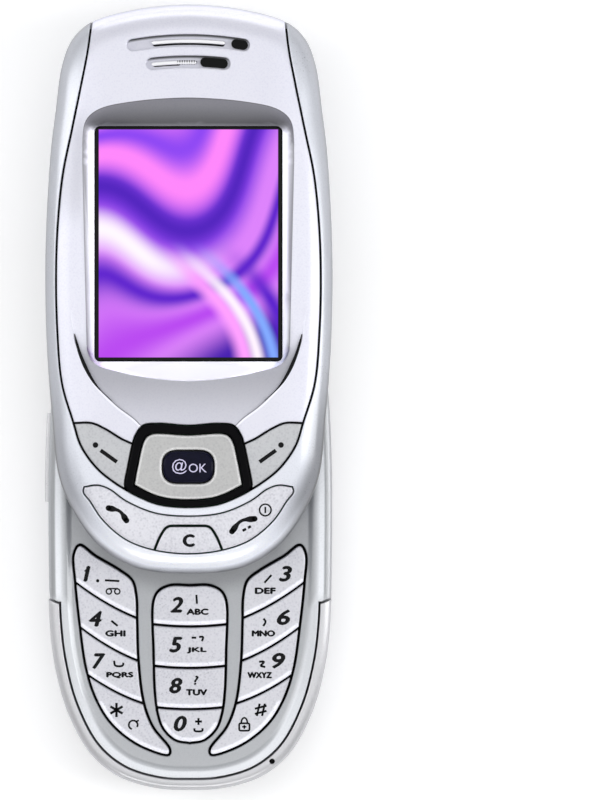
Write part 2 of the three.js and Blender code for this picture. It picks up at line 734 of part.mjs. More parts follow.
function volumeKeyBody() {
  const low = volumeKey.level;
  const high = low + volumeKey.height;
  const proudShape = shrink(baseOutline, -volumeKey.proud, baseHalfLength, 0);
  const half = volumeKey.length / 2;
  const middle = alongBase(volumeKey.middleShare);
  const x = -halfWidth;
  const strip = rounded(rectangle(
    x - 2 * volumeKey.proud, x + volumeKey.depth, middle - half, middle + half,
  ), volumeKey.proud * 2, 3);
  return prism(proudShape, low, high).intersect(prism(strip, low, high));
}

function batteryCell() {
  const low = wall + cell.lift;
  const corners = rectangle(
    -cellHalfWidth, cellHalfWidth, alongBase(cell.lowShare), alongBase(cell.highShare),
  );
  const outline = rounded(corners, cell.cornerRadius, 3);
  return prism(outline, low, low + cell.thickness);
}

function contactBlock() {
  const high = bayFloorLow - seat;
  const low = high - contacts.thickness;
  const near = alongBase(cell.highShare) + contacts.gap;
  const far = near + contacts.length;
  let block = box(-contacts.halfWidth, contacts.halfWidth, near, far, low, high);
  const pitch = (2 * contacts.halfWidth) / 4;
  const half = pitch * contacts.slotShare;
  for (let i = 1; i < 4; i += 1) {
    const x = -contacts.halfWidth + i * pitch;
    block = block.subtract(box(
      x - half, x + half, near - overrun, far + overrun, low - overrun, (low + high) / 2,
    ));
  }
  return block;
}

function simHolder() {
  const high = bayFloorLow - seat;
  const low = high - sim.holderThickness;
  const outerX = sim.halfWidth + sim.frame;
  const outerY = sim.halfLength + sim.frame;
  const innerX = sim.halfWidth + seat;
  const innerY = sim.halfLength + seat;
  const { x, y } = simPlace;
  const frame = box(x - outerX, x + outerX, y - outerY, y + outerY, low, high);
  return frame.subtract(box(
    x - innerX, x + outerX + overrun, y - innerY, y + innerY,
    low - overrun, simRoof() + 2 * seat,
  ));
}

// The level of the card's upper face
function simRoof() {
  return bayFloorLow - (3 * seat) - (sim.holderThickness - sim.thickness) / 2;
}

function simCard() {
  const high = simRoof();
  const x0 = simPlace.x - sim.halfWidth;
  const x1 = simPlace.x + sim.halfWidth;
  const y0 = simPlace.y - sim.halfLength;
  const y1 = simPlace.y + sim.halfLength;
  const cut = [point(x1 - sim.corner, y0), point(x1, y0 + sim.corner)];
  const outline = [point(x0, y0), ...cut, point(x1, y1), point(x0, y1)];
  return prism(outline, high - sim.thickness, high);
}

function loudspeaker() {
  const high = bayFloorLow - seat;
  const low = high - speaker.thickness;
  return turned([
    [0, low + speaker.coneDepth], [speakerRadius * speaker.coneShare, low], [speakerRadius, low],
    [speakerRadius, high], [0, high],
  ], speakerPlace.x, speakerPlace.y);
}

// The motor lies across the phone, with a half-round weight on its shaft
function vibrationMotor() {
  const level = bayFloorLow - seat - motor.radius;
  const barrel = new THREE.CylinderGeometry(motor.radius, motor.radius, motor.length - motor.weight, 16);
  barrel.rotateZ(Math.PI / 2);
  barrel.translate(motorPlace.x - motor.weight / 2, motorPlace.y, level);
  const shaft = new THREE.CylinderGeometry(motor.shaft, motor.shaft, motor.length, 8);
  shaft.rotateZ(Math.PI / 2);
  shaft.translate(motorPlace.x, motorPlace.y, level);
  const half = new THREE.CylinderGeometry(motor.radius, motor.radius, motor.weight - seam, 16);
  half.rotateZ(Math.PI / 2);
  half.translate(motorPlace.x + (motor.length - motor.weight + seam) / 2, motorPlace.y, level);
  const reach = 2 * motor.radius;
  const upper = box(
    motorPlace.x, motorPlace.x + motor.length, motorPlace.y - reach, motorPlace.y + reach,
    level - motor.shaft / 2, level + reach,
  );
  return solid(barrel).add(solid(shaft)).add(solid(half).intersect(upper));
}

function internalAerial() {
  const high = bayFloorLow - seat;
  const half = aerial.halfWidthShare * halfWidth;
  const feedHalf = aerial.feedHalfWidth;
  const under = high - aerial.thickness;
  const bar = box(-half, half, aerialLow, aerialLow + aerial.length, under, high);
  const skirt = box(-half, half, aerialLow, aerialLow + aerial.thickness, high - aerial.rise, high);
  const feed = box(-feedHalf, feedHalf, aerialLow - aerial.feed, aerialLow + overrun, under, high);
  return bar.add(skirt).add(feed);
}

function microphone() {
  const low = boardHigh + seat;
  return disc(micPlace.x, micPlace.y, mic.radius, low, low + mic.thickness, 20);
}

// The plate on the keypad half, whose lips hold the rails of the display half
function slideCarriage() {
  const low = trayFloor + seat / 2;
  const web = low + carriage.web;
  const top = trayFloor + carriage.top;
  const under = top - carriage.lipThickness;
  const outer = carriageHalfWidth;
  const lip = outer - carriage.lip;
  const side = outer - carriage.side;
  const right = [
    point(0, low), point(outer, low), point(outer, top), point(lip, top),
    point(lip, under), point(side, under), point(side, web), point(0, web),
  ];
  const left = right.slice(1, -1).map((p) => point(-p.x, p.y)).reverse();
  return alongY([...right, ...left], alongBase(carriage.lowShare), alongBase(carriage.highShare));
}

const recessFloor = sliderBack + recessDepth;

// A rail of the display half: a leg from the recess floor and a foot under the carriage's lip
function slideRail(side) {
  const high = recessFloor - seat / 2;
  const footHigh = trayFloor + carriage.top - carriage.lipThickness - runningGap;
  const footLow = footHigh - rail.footThickness;
  const foot = railInner + rail.foot;
  const leg = railInner + rail.leg;
  const profile = [
    point(railInner, footLow), point(foot, footLow), point(foot, footHigh),
    point(leg, footHigh), point(leg, high), point(railInner, high),
  ];
  const outline = side > 0 ? profile : mirrored(profile);
  return alongY(outline, alongSlider(rail.lowShare), alongSlider(rail.highShare));
}

function slidePlateBody() {
  const high = recessFloor - seat / 2;
  const half = railInner - slidePlate.gap;
  const outline = rounded(rectangle(
    -half, half, alongSlider(slidePlate.lowShare), alongSlider(slidePlate.highShare),
  ), slidePlate.cornerRadius, 2);
  return prism(outline, high - slidePlate.thickness, high);
}

// The hollow inside the display half, which both of its shells share
function sliderHollow() {
  const back = { reach: sharpShare * sliderWall, rise: sharpShare * sliderWall, steps: 1 };
  const front = {
    reach: sliderFrontRound.reach,
    rise: sliderFrontRound.rise - faciaThickness / 2,
    steps: hollowSteps,
  };
  const low = recessFloor + rearFloor;
  const high = sliderFront - faciaThickness;
  return pebble(
    sliderHollowOutline, sliderHalfLength, openOffset, back, front, low, high, sliderWall,
  );
}

const hollow = sliderHollow();

function slideRecess() {
  const right = recessTopShares.map(onSlider);
  const corner = point(recessHalfWidth, right.at(0).y);
  const outline = bothSides([point(recessHalfWidth, alongSlider(recessLowShare)), corner, ...right]);
  return prism(outline, sliderBack - overrun, recessFloor);
}

const cameraOutline = rounded(bothSides(cameraPlateShares.map(onSlider)), cameraPlate.thickness, 2);

// The soft rim round the camera plate, a little proud of the back
function cameraRimBody() {
  const outline = smoothOutline(bothSides(cameraRimShares.map(onSlider)), 36);
  const face = sliderBack - cameraRim.proud;
  return solid(loft([
    { outline: grow(outline, -cameraRim.slope), z: face },
    { outline: grow(outline, -cameraRim.slope * rimRingShare), z: face + cameraRim.proud * rimRingShare },
    { outline, z: sliderBack },
    { outline, z: sliderBack + sliderWall },
  ])).intersect(prism(sliderShape(sliderBackRound.reach), face - overrun, sliderBack + sliderWall));
}

const lensHole = (gap, high) => disc(
  lensPlace.x, lensPlace.y, lens.ringOuter + gap, sliderBack - overrun, high, 32,
);

function sliderRearCover() {
  const plateFloor = sliderBack + cameraPlate.thickness + seat;
  let body = sliderForm.intersect(slabSlider(sliderBack - overrun, sliderSeam - seam / 2)).subtract(hollow);
  body = body.add(cameraRimBody());
  body = body.subtract(slideRecess());
  body = body.subtract(prism(grow(cameraOutline, seam / 2), sliderBack - overrun, plateFloor));
  body = body.subtract(lensHole(seam, sliderSeam));
  for (const side of [-1, 1]) {
    const notch = notchShares.map(([x, y]) => onSlider([x * side, y]));
    const cutter = prism(side > 0 ? notch.reverse() : notch, sliderBack - overrun, sliderBack + notchDepth);
    body = body.subtract(cutter);
    body = body.subtract(disc(
      side * plugPlace.x, plugPlace.y, plug.radius + seat, sliderBack - overrun, sliderBack + plug.depth,
    ));
  }
  return body;
}

function oval(x, y0, y1, halfX, steps) {
  return rounded(rectangle(x - halfX, x + halfX, y0, y1), halfX, steps);
}

function ellipse(x, y, halfX, halfY, count) {
  return new THREE.EllipseCurve(x, y, halfX, halfY, 0, 2 * Math.PI).getPoints(count).slice(0, count);
}

function cameraPlateBody() {
  const high = sliderBack + cameraPlate.thickness;
  let body = prism(grow(cameraOutline, -seam / 2), sliderBack, high);
  const mirrorHole = oval(
    mirrorPlace.x, mirrorLow, alongSlider(mirror.ovalHighShare), mirror.ovalHalfWidth, 8,
  );
  body = body.subtract(prism(mirrorHole, sliderBack - overrun, high + overrun));
  body = body.subtract(lensHole(seat, high + overrun));
  const flashHole = ellipse(flashPlace.x, flashPlace.y, flash.halfWidth + seat, flash.halfHeight + seat, 20);
  return body.subtract(prism(flashHole, sliderBack - overrun, high + overrun));
}

function cameraBezel() {
  const face = sliderBack - lens.proud;
  const high = face + lens.depth;
  return turned([
    [lens.ringInner, face + seat], [lens.ringInner + seat, face], [lens.ringOuter - seat, face],
    [lens.ringOuter, face + seat], [lens.ringOuter, high], [lens.ringInner, high],
    [lens.ringInner, face + seat],
  ], lensPlace.x, lensPlace.y, 28);
}

// A domed front lens over its barrel
function cameraLens() {
  const face = sliderBack - lens.proud + lens.sunk;
  const radius = lens.ringInner - seat;
  const profile = [];
  for (let i = 0; i <= 3; i += 1) {
    const share = i / 3;
    profile.push([radius * share, face - lens.dome * (1 - share * share)]);
  }
  profile.push([radius, sliderBack - lens.proud + lens.depth], [0, sliderBack - lens.proud + lens.depth]);
  return turned(profile, lensPlace.x, lensPlace.y, 24);
}

// The convex mirror for self portraits, seated on the floor under the camera plate
function portraitMirror() {
  const high = sliderBack + cameraPlate.thickness;
  const radius = mirror.ovalHalfWidth - mirror.gap;
  const profile = [];
  for (let i = 0; i <= 4; i += 1) {
    const share = i / 4;
    profile.push([radius * share, high - mirror.rim - mirror.dome * (1 - share * share)]);
  }
  profile.push([radius, high], [0, high]);
  return turned(profile, mirrorPlace.x, mirrorPlace.y, 28);
}

function flashLamp() {
  const high = sliderBack + cameraPlate.thickness;
  const { x, y } = flashPlace;
  const outline = (share) => ellipse(x, y, flash.halfWidth * share, flash.halfHeight * share, 20);
  const face = sliderBack + seat;
  return solid(loft([
    ...flashDomeShares.map(([share, rise]) => ({ outline: outline(share), z: face - flash.dome * rise })),
    { outline: outline(1), z: face + seat },
    { outline: outline(1), z: high },
  ]));
}

const screwPlug = (side) => turned([
  [0, sliderBack + plug.sunk], [plug.radius - seat, sliderBack + plug.sunk],
  [plug.radius, sliderBack + plug.sunk + seat], [plug.radius, sliderBack + plug.depth - seat],
  [0, sliderBack + plug.depth - seat],
], side * plugPlace.x, plugPlace.y, 24);

// The front face's parts, nominal outlines that meet; each is drawn in by half the seam
const centreSide = centreSideShares.map(onSlider);
const topEdge = openOffset + sliderHalfLength + overrun;
const centreSideLine = [...smoothLine(centreSide, 14), point(centreSide.at(-1).x, topEdge)];
const centreOutline = bothSides([
  ...padLowShares.map(onSlider), ...softkeyLowShares.map(onSlider), ...centreSideLine,
]);
const facia = bothSides([
  ...padTopShares.map(onSlider).reverse(), ...softkeyTopShares.map(onSlider).reverse(), ...centreSideLine,
]);
const softkeyRight = [
  onSlider(padLowShares.at(-1)), ...softkeyLowShares.map(onSlider), centreSide.at(0),
  ...softkeyTopShares.map(onSlider), onSlider(padSideShares.at(0)),
];
const padOutline = bothSides([
  ...padLowShares.map(onSlider), ...padSideShares.map(onSlider), ...padTopShares.map(onSlider),
]);
const bandOutline = bothSides([...bandLowShares.map(onSlider), ...bandTopShares.map(onSlider)]);
const clearOutline = rounded(bothSides(clearShares.map(onSlider)), faceKey.cornerRadius, 2);
const windowOutline = (radius) => rounded(bothSides(windowShares.map(onSlider)), radius, 3);
const archOutline = rounded(bothSides(archShares.map(onSlider)), display.archRadius, 3);

const faceHigh = sliderFront + overrun;
const faciaUnder = sliderFront - faciaThickness;
const windowLow = faciaUnder - display.windowThickness + faciaThickness / 4;
const keyUnder = sliderFront - faceKey.thickness;

function sliderFrame() {
  let body = sliderForm.intersect(slabSlider(sliderSeam + seam / 2, faceHigh)).subtract(hollow);
  body = body.subtract(prism(grow(centreOutline, seam / 2), sliderSeam - overrun, faceHigh));
  return body.subtract(prism(grow(bandOutline, keyGap / 2), sliderSeam, faceHigh));
}

// An arched slot or bar of the earpiece
function archStrip(x0, x1, level, height, reach) {
  const steps = 6;
  const row = (shift) => Array.from({ length: steps + 1 }, (_, i) => {
    const x = x0 + ((x1 - x0) * i) / steps;
    return point(x, level + shift - earpiece.sag * (x / reach) ** 2);
  });
  return rounded([...row(-height / 2), ...row(height / 2).reverse()], height / 2, 2);
}

function sliderFacia() {
  const region = prism(grow(facia, -seam / 2), sliderSeam + seam / 2, faceHigh);
  let body = sliderForm.intersect(region).subtract(hollow);
  const opening = solid(loft([
    { outline: windowOutline(display.cornerRadius), z: sliderSeam },
    { outline: windowOutline(display.cornerRadius), z: faciaUnder + faciaThickness / 4 },
    { outline: archOutline, z: sliderFront },
    { outline: archOutline, z: faceHigh },
  ]));
  body = body.subtract(opening).subtract(chinBowl());
  const e = earpiece;
  const slots = [
    archStrip(-e.upperHalfWidth, e.upperHalfWidth, earpieceUpper, e.height, e.upperHalfWidth),
    archStrip(-e.lowerHalfWidth, e.lowerHalfWidth, earpieceLower, e.height, e.upperHalfWidth),
  ];
  for (const slot of slots) body = body.subtract(prism(slot, sliderSeam, faceHigh));
  return body;
}

// The dished chin under the window, deepest beside the window and run out at the pad
function chinBowl() {
  const wedge = acrossPhone([
    point(alongSlider(bowlEndShare), sliderFront), point(alongSlider(bowlDeepShare), sliderFront - bowl.depth),
    point(alongSlider(bowlTopShare), sliderFront), point(alongSlider(bowlTopShare), faceHigh),
    point(alongSlider(bowlEndShare), faceHigh),
  ]);
  return wedge.intersect(prism(bothSides(bowlShares.map(onSlider)), sliderSeam, faceHigh));
}

const displayWindow = () => capped(
  grow(windowOutline(display.cornerRadius), -seat), windowLow, windowLow + display.windowThickness, seat,
);

function displayModule() {
  const outline = grow(windowOutline(display.cornerRadius), -display.moduleInset);
  return prism(outline, windowLow - seat - display.moduleThickness, windowLow - seat);
}

function earpieceBar(x0, x1, level) {
  const high = sliderFront - earpiece.barSunk;
  const outline = archStrip(x0, x1, level, earpiece.barHeight, earpiece.upperHalfWidth);
  return prism(outline, high - earpiece.barThickness, high);
}

function receiverBody() {
  const level = alongSlider(receiver.levelShare);
  const outline = rounded(rectangle(
    -receiver.halfWidth, receiver.halfWidth, level - receiver.halfHeight, level + receiver.halfHeight,
  ), receiver.cornerRadius);
  return prism(outline, faciaUnder - seat - receiver.thickness, faciaUnder - seat);
}

// A key that lies flush in the front face, with a plunger towards the board
function faceKeyBody(outline, gap, plungers) {
  let body = sliderForm.intersect(prism(grow(outline, -gap / 2), keyUnder, faceHigh));
  for (const [x, y] of plungers) body = body.add(faceKeyPlunger(x, y));
  return body;
}

const faceKeyPlunger = (x, y) => disc(
  x, y, faceKey.plungerRadius, keyUnder - faceKey.plungerLength, keyUnder + overrun, 12,
);

function softkey(side) {
  const outline = side > 0 ? softkeyRight : mirrored(softkeyRight);
  const middle = softkeyRight.reduce((sum, p) => sum.add(p), point(0, 0)).divideScalar(softkeyRight.length);
  return faceKeyBody(outline, seam, [[side * middle.x, middle.y]]);
}

function callEndRocker() {
  const { x, y } = onSlider(rockerPlungerShares);
  const body = faceKeyBody(bandOutline, keyGap, [[-x, y], [x, y]]);
  return body.subtract(prism(grow(clearOutline, keyGap / 2), sliderSeam, faceHigh));
}

function clearKey() {
  const outline = prism(grow(clearOutline, -keyGap / 2), keyUnder, faceHigh);
  const band = prism(grow(bandOutline, -keyGap / 2), keyUnder, faceHigh);
  const plunger = faceKeyPlunger(0, alongSlider(clearPlungerShare));
  return sliderForm.intersect(band).intersect(outline).add(plunger);
}

const padInner = grow(padOutline, -pad.frameWall - seam / 2);
const okOutline = rounded(rectangle(
  -okButton.halfWidth, okButton.halfWidth,
  okLevel - okButton.halfHeight, okLevel + okButton.halfHeight,
), okButton.cornerRadius, 5);
const padUnder = sliderFront - pad.under;

function padFrame() {
  const outer = capped(grow(padOutline, -seam / 2), padUnder, sliderFront + pad.proud, pad.bevel);
  return outer.subtract(prism(padInner, padUnder - overrun, faceHigh));
}

function navigationPad() {
  const body = capped(grow(padInner, -keyGap), padUnder + seam, sliderFront, pad.bevel);
  return body.subtract(prism(grow(okOutline, keyGap), padUnder - overrun, faceHigh));
}

// The ring under the pad that lets it tip both ways
function padGimbal() {
  const high = padUnder + seam - runningGap;
  const outline = rounded(rectangle(
    -pad.gimbalHalfWidth, pad.gimbalHalfWidth,
    okLevel - pad.gimbalHalfHeight, okLevel + pad.gimbalHalfHeight,
  ), pad.gimbalCorner);
  const body = prism(outline, high - pad.gimbalThickness, high);
  const hole = okButton.plungerRadius + runningGap;
  return body.subtract(disc(0, okLevel, hole, padUnder - 2 * overrun, high + overrun, 20));
}

function okButtonBody() {
  const low = padUnder + 2 * runningGap;
  const cap = capped(okOutline, low, sliderFront + okButton.proud, pad.bevel);
  const foot = keyUnder - faceKey.plungerLength;
  return cap.add(disc(0, okLevel, okButton.plungerRadius, foot, low + overrun, 20));
}

function functionBoardBody() {
  const low = recessFloor + rearFloor + seat;
  const outline = sliderShape(functionBoard.inset);
  const high = low + functionBoard.thickness;
  return prism(outline, low, high).intersect(box(
    -reachX, reachX, openOffset - sliderHalfLength, alongSlider(functionBoard.highShare),
    low - overrun, high + overrun,
  ));
}

// Materials of the phone
function finish(color, roughness, metalness) {
  return new THREE.MeshStandardMaterial({ color, roughness, metalness });
}

const silver = finish(0xd3d5dc, 0.35, 0.45);
const paleSilver = finish(0xe2e3e8, 0.3, 0.4);
const trayGrey = finish(0xb9bdc4, 0.4, 0.4);
const keySilver = finish(0xd9dae0, 0.3, 0.2);
const chrome = finish(0xe8e9ec, 0.08, 1);
const steel = finish(0xb4b7bd, 0.35, 0.9);
const black = finish(0x0b0c12, 0.3, 0);
const darkGrey = finish(0x7b7e84, 0.5, 0.1);
const rubberGrey = finish(0x8f9297, 0.8, 0);
const navy = finish(0x10132e, 0.2, 0);
const clearGlass = finish(0xb9a6e6, 0.05, 0);
const boardGreen = finish(0x1f5a3a, 0.6, 0);
const copper = finish(0xc08a4a, 0.35, 0.9);
const cardWhite = finish(0xe9e6dc, 0.6, 0);

const phone = new THREE.Group();

function piece(name, body, material, parent) {
  const mesh = new THREE.Mesh(geometryOf(body), material);
  mesh.name = name;
  parent.add(mesh);
}

function buildKeypadHalf() {
  const half = new THREE.Group();
  piece("base_front_housing", frontHousing(), paleSilver, half);
  piece("base_rear_housing", rearHousing(), silver, half);
  piece("upper_back_cover", upperBackCover(), silver, half);
  piece("battery_pack", batteryPack(), silver, half);
  piece("battery_cell", batteryCell(), darkGrey, half);
  piece("battery_contacts", contactBlock(), copper, half);
  piece("latch_button", latchButton(), darkGrey, half);
  piece("main_board", mainBoard(), boardGreen, half);
  piece("shield_can", shieldCan(), steel, half);
  piece("key_mat", keyMat(), rubberGrey, half);
  piece("sim_holder", simHolder(), steel, half);
  piece("sim_card", simCard(), cardWhite, half);
  piece("loudspeaker", loudspeaker(), black, half);
  piece("vibration_motor", vibrationMotor(), steel, half);
  piece("internal_aerial", internalAerial(), copper, half);
  piece("microphone", microphone(), steel, half);
  piece("system_connector", systemConnector(), steel, half);
  piece("connector_cover", connectorCoverBody(), rubberGrey, half);
  piece("volume_key", volumeKeyBody(), silver, half);
  piece("slide_carriage", slideCarriage(), steel, half);
  for (const column of columns) {
    column.names.forEach((name, place) => {
      piece(`key_${name}`, numberKeyBody(column, place), keySilver, half);
    });
  }
  return half;
}

function buildDisplayHalf() {
  const half = new THREE.Group();
  const e = earpiece;
  piece("slider_frame", sliderFrame(), silver, half);
  piece("slider_fascia", sliderFacia(), paleSilver, half);
  piece("slider_rear_cover", sliderRearCover(), silver, half);
  piece("display_window", displayWindow(), clearGlass, half);
  piece("display_module", displayModule(), black, half);
  piece("earpiece_bar_upper", earpieceBar(-e.upperBarHalf, e.upperBarHalf, earpieceUpper), chrome, half);
  piece("earpiece_bar_lower", earpieceBar(e.lowerBarLow, e.lowerBarHigh, earpieceLower), chrome, half);
  piece("receiver", receiverBody(), black, half);
  piece("function_board", functionBoardBody(), boardGreen, half);
  piece("softkey_left", softkey(-1), trayGrey, half);
  piece("softkey_right", softkey(1), trayGrey, half);
  piece("pad_frame", padFrame(), black, half);
  piece("navigation_pad", navigationPad(), trayGrey, half);
  piece("pad_gimbal", padGimbal(), darkGrey, half);
  piece("ok_button", okButtonBody(), navy, half);
  piece("call_end_rocker", callEndRocker(), keySilver, half);
  piece("clear_key", clearKey(), keySilver, half);
  piece("slide_plate", slidePlateBody(), steel, half);
  piece("slide_rail_left", slideRail(-1), chrome, half);
  piece("slide_rail_right", slideRail(1), chrome, half);
  piece("camera_plate", cameraPlateBody(), paleSilver, half);
  piece("camera_bezel", cameraBezel(), chrome, half);
  piece("camera_lens", cameraLens(), black, half);
  piece("portrait_mirror", portraitMirror(), chrome, half);
  piece("flash_lamp", flashLamp(), cardWhite, half);
  piece("screw_plug_left", screwPlug(-1), rubberGrey, half);
  piece("screw_plug_right", screwPlug(1), rubberGrey, half);
  return half;
}

phone.add(buildKeypadHalf(), buildDisplayHalf());

export default phone;
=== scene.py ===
"""Slider phone, open, lying on its back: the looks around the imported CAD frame, in millimetres."""

import json
import math

import bpy
import numpy as np
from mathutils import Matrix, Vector
from mathutils.geometry import delaunay_2d_cdt


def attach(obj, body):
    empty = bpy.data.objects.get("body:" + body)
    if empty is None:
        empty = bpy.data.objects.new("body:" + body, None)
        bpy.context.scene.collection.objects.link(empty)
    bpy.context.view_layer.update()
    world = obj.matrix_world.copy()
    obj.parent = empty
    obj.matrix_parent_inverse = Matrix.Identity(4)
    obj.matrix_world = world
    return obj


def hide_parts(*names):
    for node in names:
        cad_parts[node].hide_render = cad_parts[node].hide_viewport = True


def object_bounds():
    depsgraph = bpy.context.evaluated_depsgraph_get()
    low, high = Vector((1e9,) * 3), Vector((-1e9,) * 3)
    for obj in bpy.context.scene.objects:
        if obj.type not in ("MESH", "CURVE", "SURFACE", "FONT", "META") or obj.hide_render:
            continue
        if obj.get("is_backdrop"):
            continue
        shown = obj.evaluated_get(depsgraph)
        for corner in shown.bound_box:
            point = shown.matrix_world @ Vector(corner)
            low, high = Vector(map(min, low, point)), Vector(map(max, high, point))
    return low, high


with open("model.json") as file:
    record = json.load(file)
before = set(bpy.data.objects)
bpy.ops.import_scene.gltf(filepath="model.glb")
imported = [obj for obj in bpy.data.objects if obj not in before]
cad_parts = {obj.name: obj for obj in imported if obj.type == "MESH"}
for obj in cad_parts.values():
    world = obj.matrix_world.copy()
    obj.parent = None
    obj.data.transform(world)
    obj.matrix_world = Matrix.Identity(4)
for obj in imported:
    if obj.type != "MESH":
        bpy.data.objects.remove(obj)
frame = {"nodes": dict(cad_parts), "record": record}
cad_box = [list(corner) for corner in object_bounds()]

# Sizes of the two halves, the same as the CAD's
MM = 0.001
HALF_WIDTH = 23.0
BASE_HALF = 45.0
BASE_TOP = 12.2
SLIDER_HALF = 45.6
SLIDER_MIDDLE = 35.9
SLIDER_BACK = 12.8
SLIDER_TOP = 22.0
SLIDER_SEAM = 16.7
SEAM = 0.34
KEY_GAP = 0.42
BAND_GAP = 0.24

# Rounded edges: how far the quarter ellipse reaches in from the outline, and how far it falls
BASE_FRONT_EDGE = (1.4, 1.3)
BASE_BACK_EDGE = (6.0, 5.6)
SLIDER_FRONT_EDGE = (5.0, 4.4)
SLIDER_BACK_EDGE = (2.2, 2.4)
TRAY_EDGE = (3.0, 4.0)
TRAY_DEPTH = 0.5
OUTLINE_POINTS = 260
TINY = 1e-6

# Outlines as shares of a half's width and length, from its middle
BASE_SHARES = [
    (0, -1), (0.24, -0.993), (0.5, -0.952), (0.7, -0.87), (0.86, -0.722), (0.945, -0.57), (0.985, -0.42),
    (1, -0.15), (0.998, 0.2), (0.975, 0.43), (0.93, 0.62), (0.875, 0.8), (0.79, 0.91), (0.63, 0.962),
    (0.36, 0.988), (0, 1),
]
SLIDER_SHARES = [
    (0, -1), (0.365, -0.98), (0.63, -0.9), (0.8, -0.785), (0.905, -0.66), (0.953, -0.45), (0.99, -0.2),
    (1, 0.12), (0.965, 0.47), (0.93, 0.62), (0.883, 0.787), (0.815, 0.875), (0.69, 0.935), (0.4, 0.98),
    (0, 1),
]
CENTRE_SIDE = [
    (0.795, -0.471), (0.876, -0.334), (0.909, -0.15), (0.918, 0.05), (0.905, 0.23), (0.87, 0.4),
    (0.809, 0.549), (0.739, 0.72), (0.696, 0.835), (0.675, 0.93), (0.665, 1.02),
]
SOFTKEY_TOP = [(0.795, -0.471), (0.669, -0.471), (0.577, -0.491), (0.459, -0.527), (0.384, -0.544)]
SOFTKEY_LOW = [(0.424, -0.706), (0.497, -0.684), (0.629, -0.631), (0.743, -0.551), (0.795, -0.471)]
PAD_LOW = [(-0.206, -0.754), (0, -0.764), (0.206, -0.754), (0.365, -0.722), (0.424, -0.706)]
PAD_SIDE = [(0.424, -0.706), (0.437, -0.692), (0.411, -0.61), (0.384, -0.544)]
PAD_TOP = [(0.384, -0.544), (0.365, -0.515), (0.314, -0.481), (0.206, -0.474), (0, -0.481), (-0.206, -0.474)]
BAND_LOW = [(-0.244, -0.914), (0, -0.928), (0.244, -0.914), (0.431, -0.879), (0.591, -0.811), (0.683, -0.743)]
BAND_TIP = (0.728, -0.712)
BAND_TOP = [
    (0.722, -0.694), (0.629, -0.688), (0.549, -0.701), (0.431, -0.743), (0.231, -0.785), (0, -0.796),
    (-0.231, -0.785),
]
CLEAR = [(0, -0.96), (0.262, -0.95), (0.2, -0.87), (0.15, -0.83), (0, -0.83)]
ARCH = [
    (0, -0.327), (0.35, -0.309), (0.7, -0.264), (0.735, 0.5), (0.72, 0.59), (0.6, 0.635), (0.31, 0.658),
    (0, 0.667),
]
WINDOW = [(0, -0.256), (0.653, -0.256), (0.653, 0.568), (0, 0.568)]
BOWL = [
    (0, -0.56), (0.2, -0.54), (0.373, -0.457), (0.494, -0.411), (0.628, -0.343), (0.688, -0.298),
    (0.75, -0.237), (0.793, -0.169), (0.79, -0.05), (0, -0.05),
]
CHIN_ENDS = [(0, -0.5), (0, -0.24), (0, -0.05)]
SIDE_COLUMN = [
    (0.147, -0.872), (0.3, -0.852), (0.45, -0.808), (0.575, -0.746), (0.665, -0.665), (0.73, -0.56),
    (0.775, -0.4), (0.806, -0.25), (0.815, -0.15), (0.775, -0.118), (0.663, -0.157), (0.491, -0.209),
    (0.405, -0.245), (0.376, -0.3), (0.37, -0.4), (0.36, -0.54), (0.323, -0.686), (0.259, -0.772),
    (0.14, -0.852),
]
SIDE_DIVIDERS = [
    ((0.36, -0.383), (0.81, -0.25)), ((0.35, -0.537), (0.78, -0.41)), ((0.31, -0.69), (0.73, -0.58)),
]
MIDDLE_COLUMN = [
    (0, -0.83), (0.1, -0.82), (0.185, -0.78), (0.225, -0.725), (0.245, -0.65), (0.255, -0.5), (0.256, -0.32),
    (0.22, -0.283), (0.14, -0.263), (0, -0.263),
]
MIDDLE_DIVIDERS = [((-0.3, low), (0.3, low)) for low in (-0.4, -0.549, -0.697)]
PACK_SEAM = [(1.1, 0.32), (0.95, 0.405), (0.88, 0.45), (0.76, 0.473)]
COVER_SIDE = [(0.692, 0.473), (0.69, 0.565), (0.665, 0.69), (0.637, 0.815), (0.63, 1.05)]
CAMERA_PLATE = [
    (0, 0.614), (0.233, 0.614), (0.36, 0.654), (0.45, 0.706), (0.498, 0.759), (0.498, 0.926), (0.4, 0.934),
    (0.2, 0.944), (0, 0.948),
]
CAMERA_RIM = [
    (0, 0.546), (0.263, 0.563), (0.45, 0.605), (0.582, 0.671), (0.645, 0.739), (0.66, 0.818), (0.64, 0.9),
    (0.5, 0.94), (0, 0.96),
]
RECESS = [(0, -0.8), (0.735, -0.8), (0.735, 0.579), (0.471, 0.579), (0.253, 0.528), (0, 0.528)]
NOTCH = [(1.1, -0.8), (1.1, 0.235), (0.948, 0.235), (0.849, 0.203), (0.822, 0.144), (0.822, -0.8)]
STEP_RIGHT = [(0.925, -0.325), (0.99, -0.312)]
MIC_SHARE = (0.578, -0.895)
HOOK_SHARE = (0.43, -0.507)


# Curves in the plane
def on_base(shares):
    """Shares of the keypad half's half width and half length, as millimetres."""
    return np.array(shares, float) * (HALF_WIDTH, BASE_HALF)


def on_slider(shares):
    """Shares of the display half's half width and half length, as millimetres from its middle."""
    return np.array(shares, float) * (HALF_WIDTH, SLIDER_HALF) + (0, SLIDER_MIDDLE)


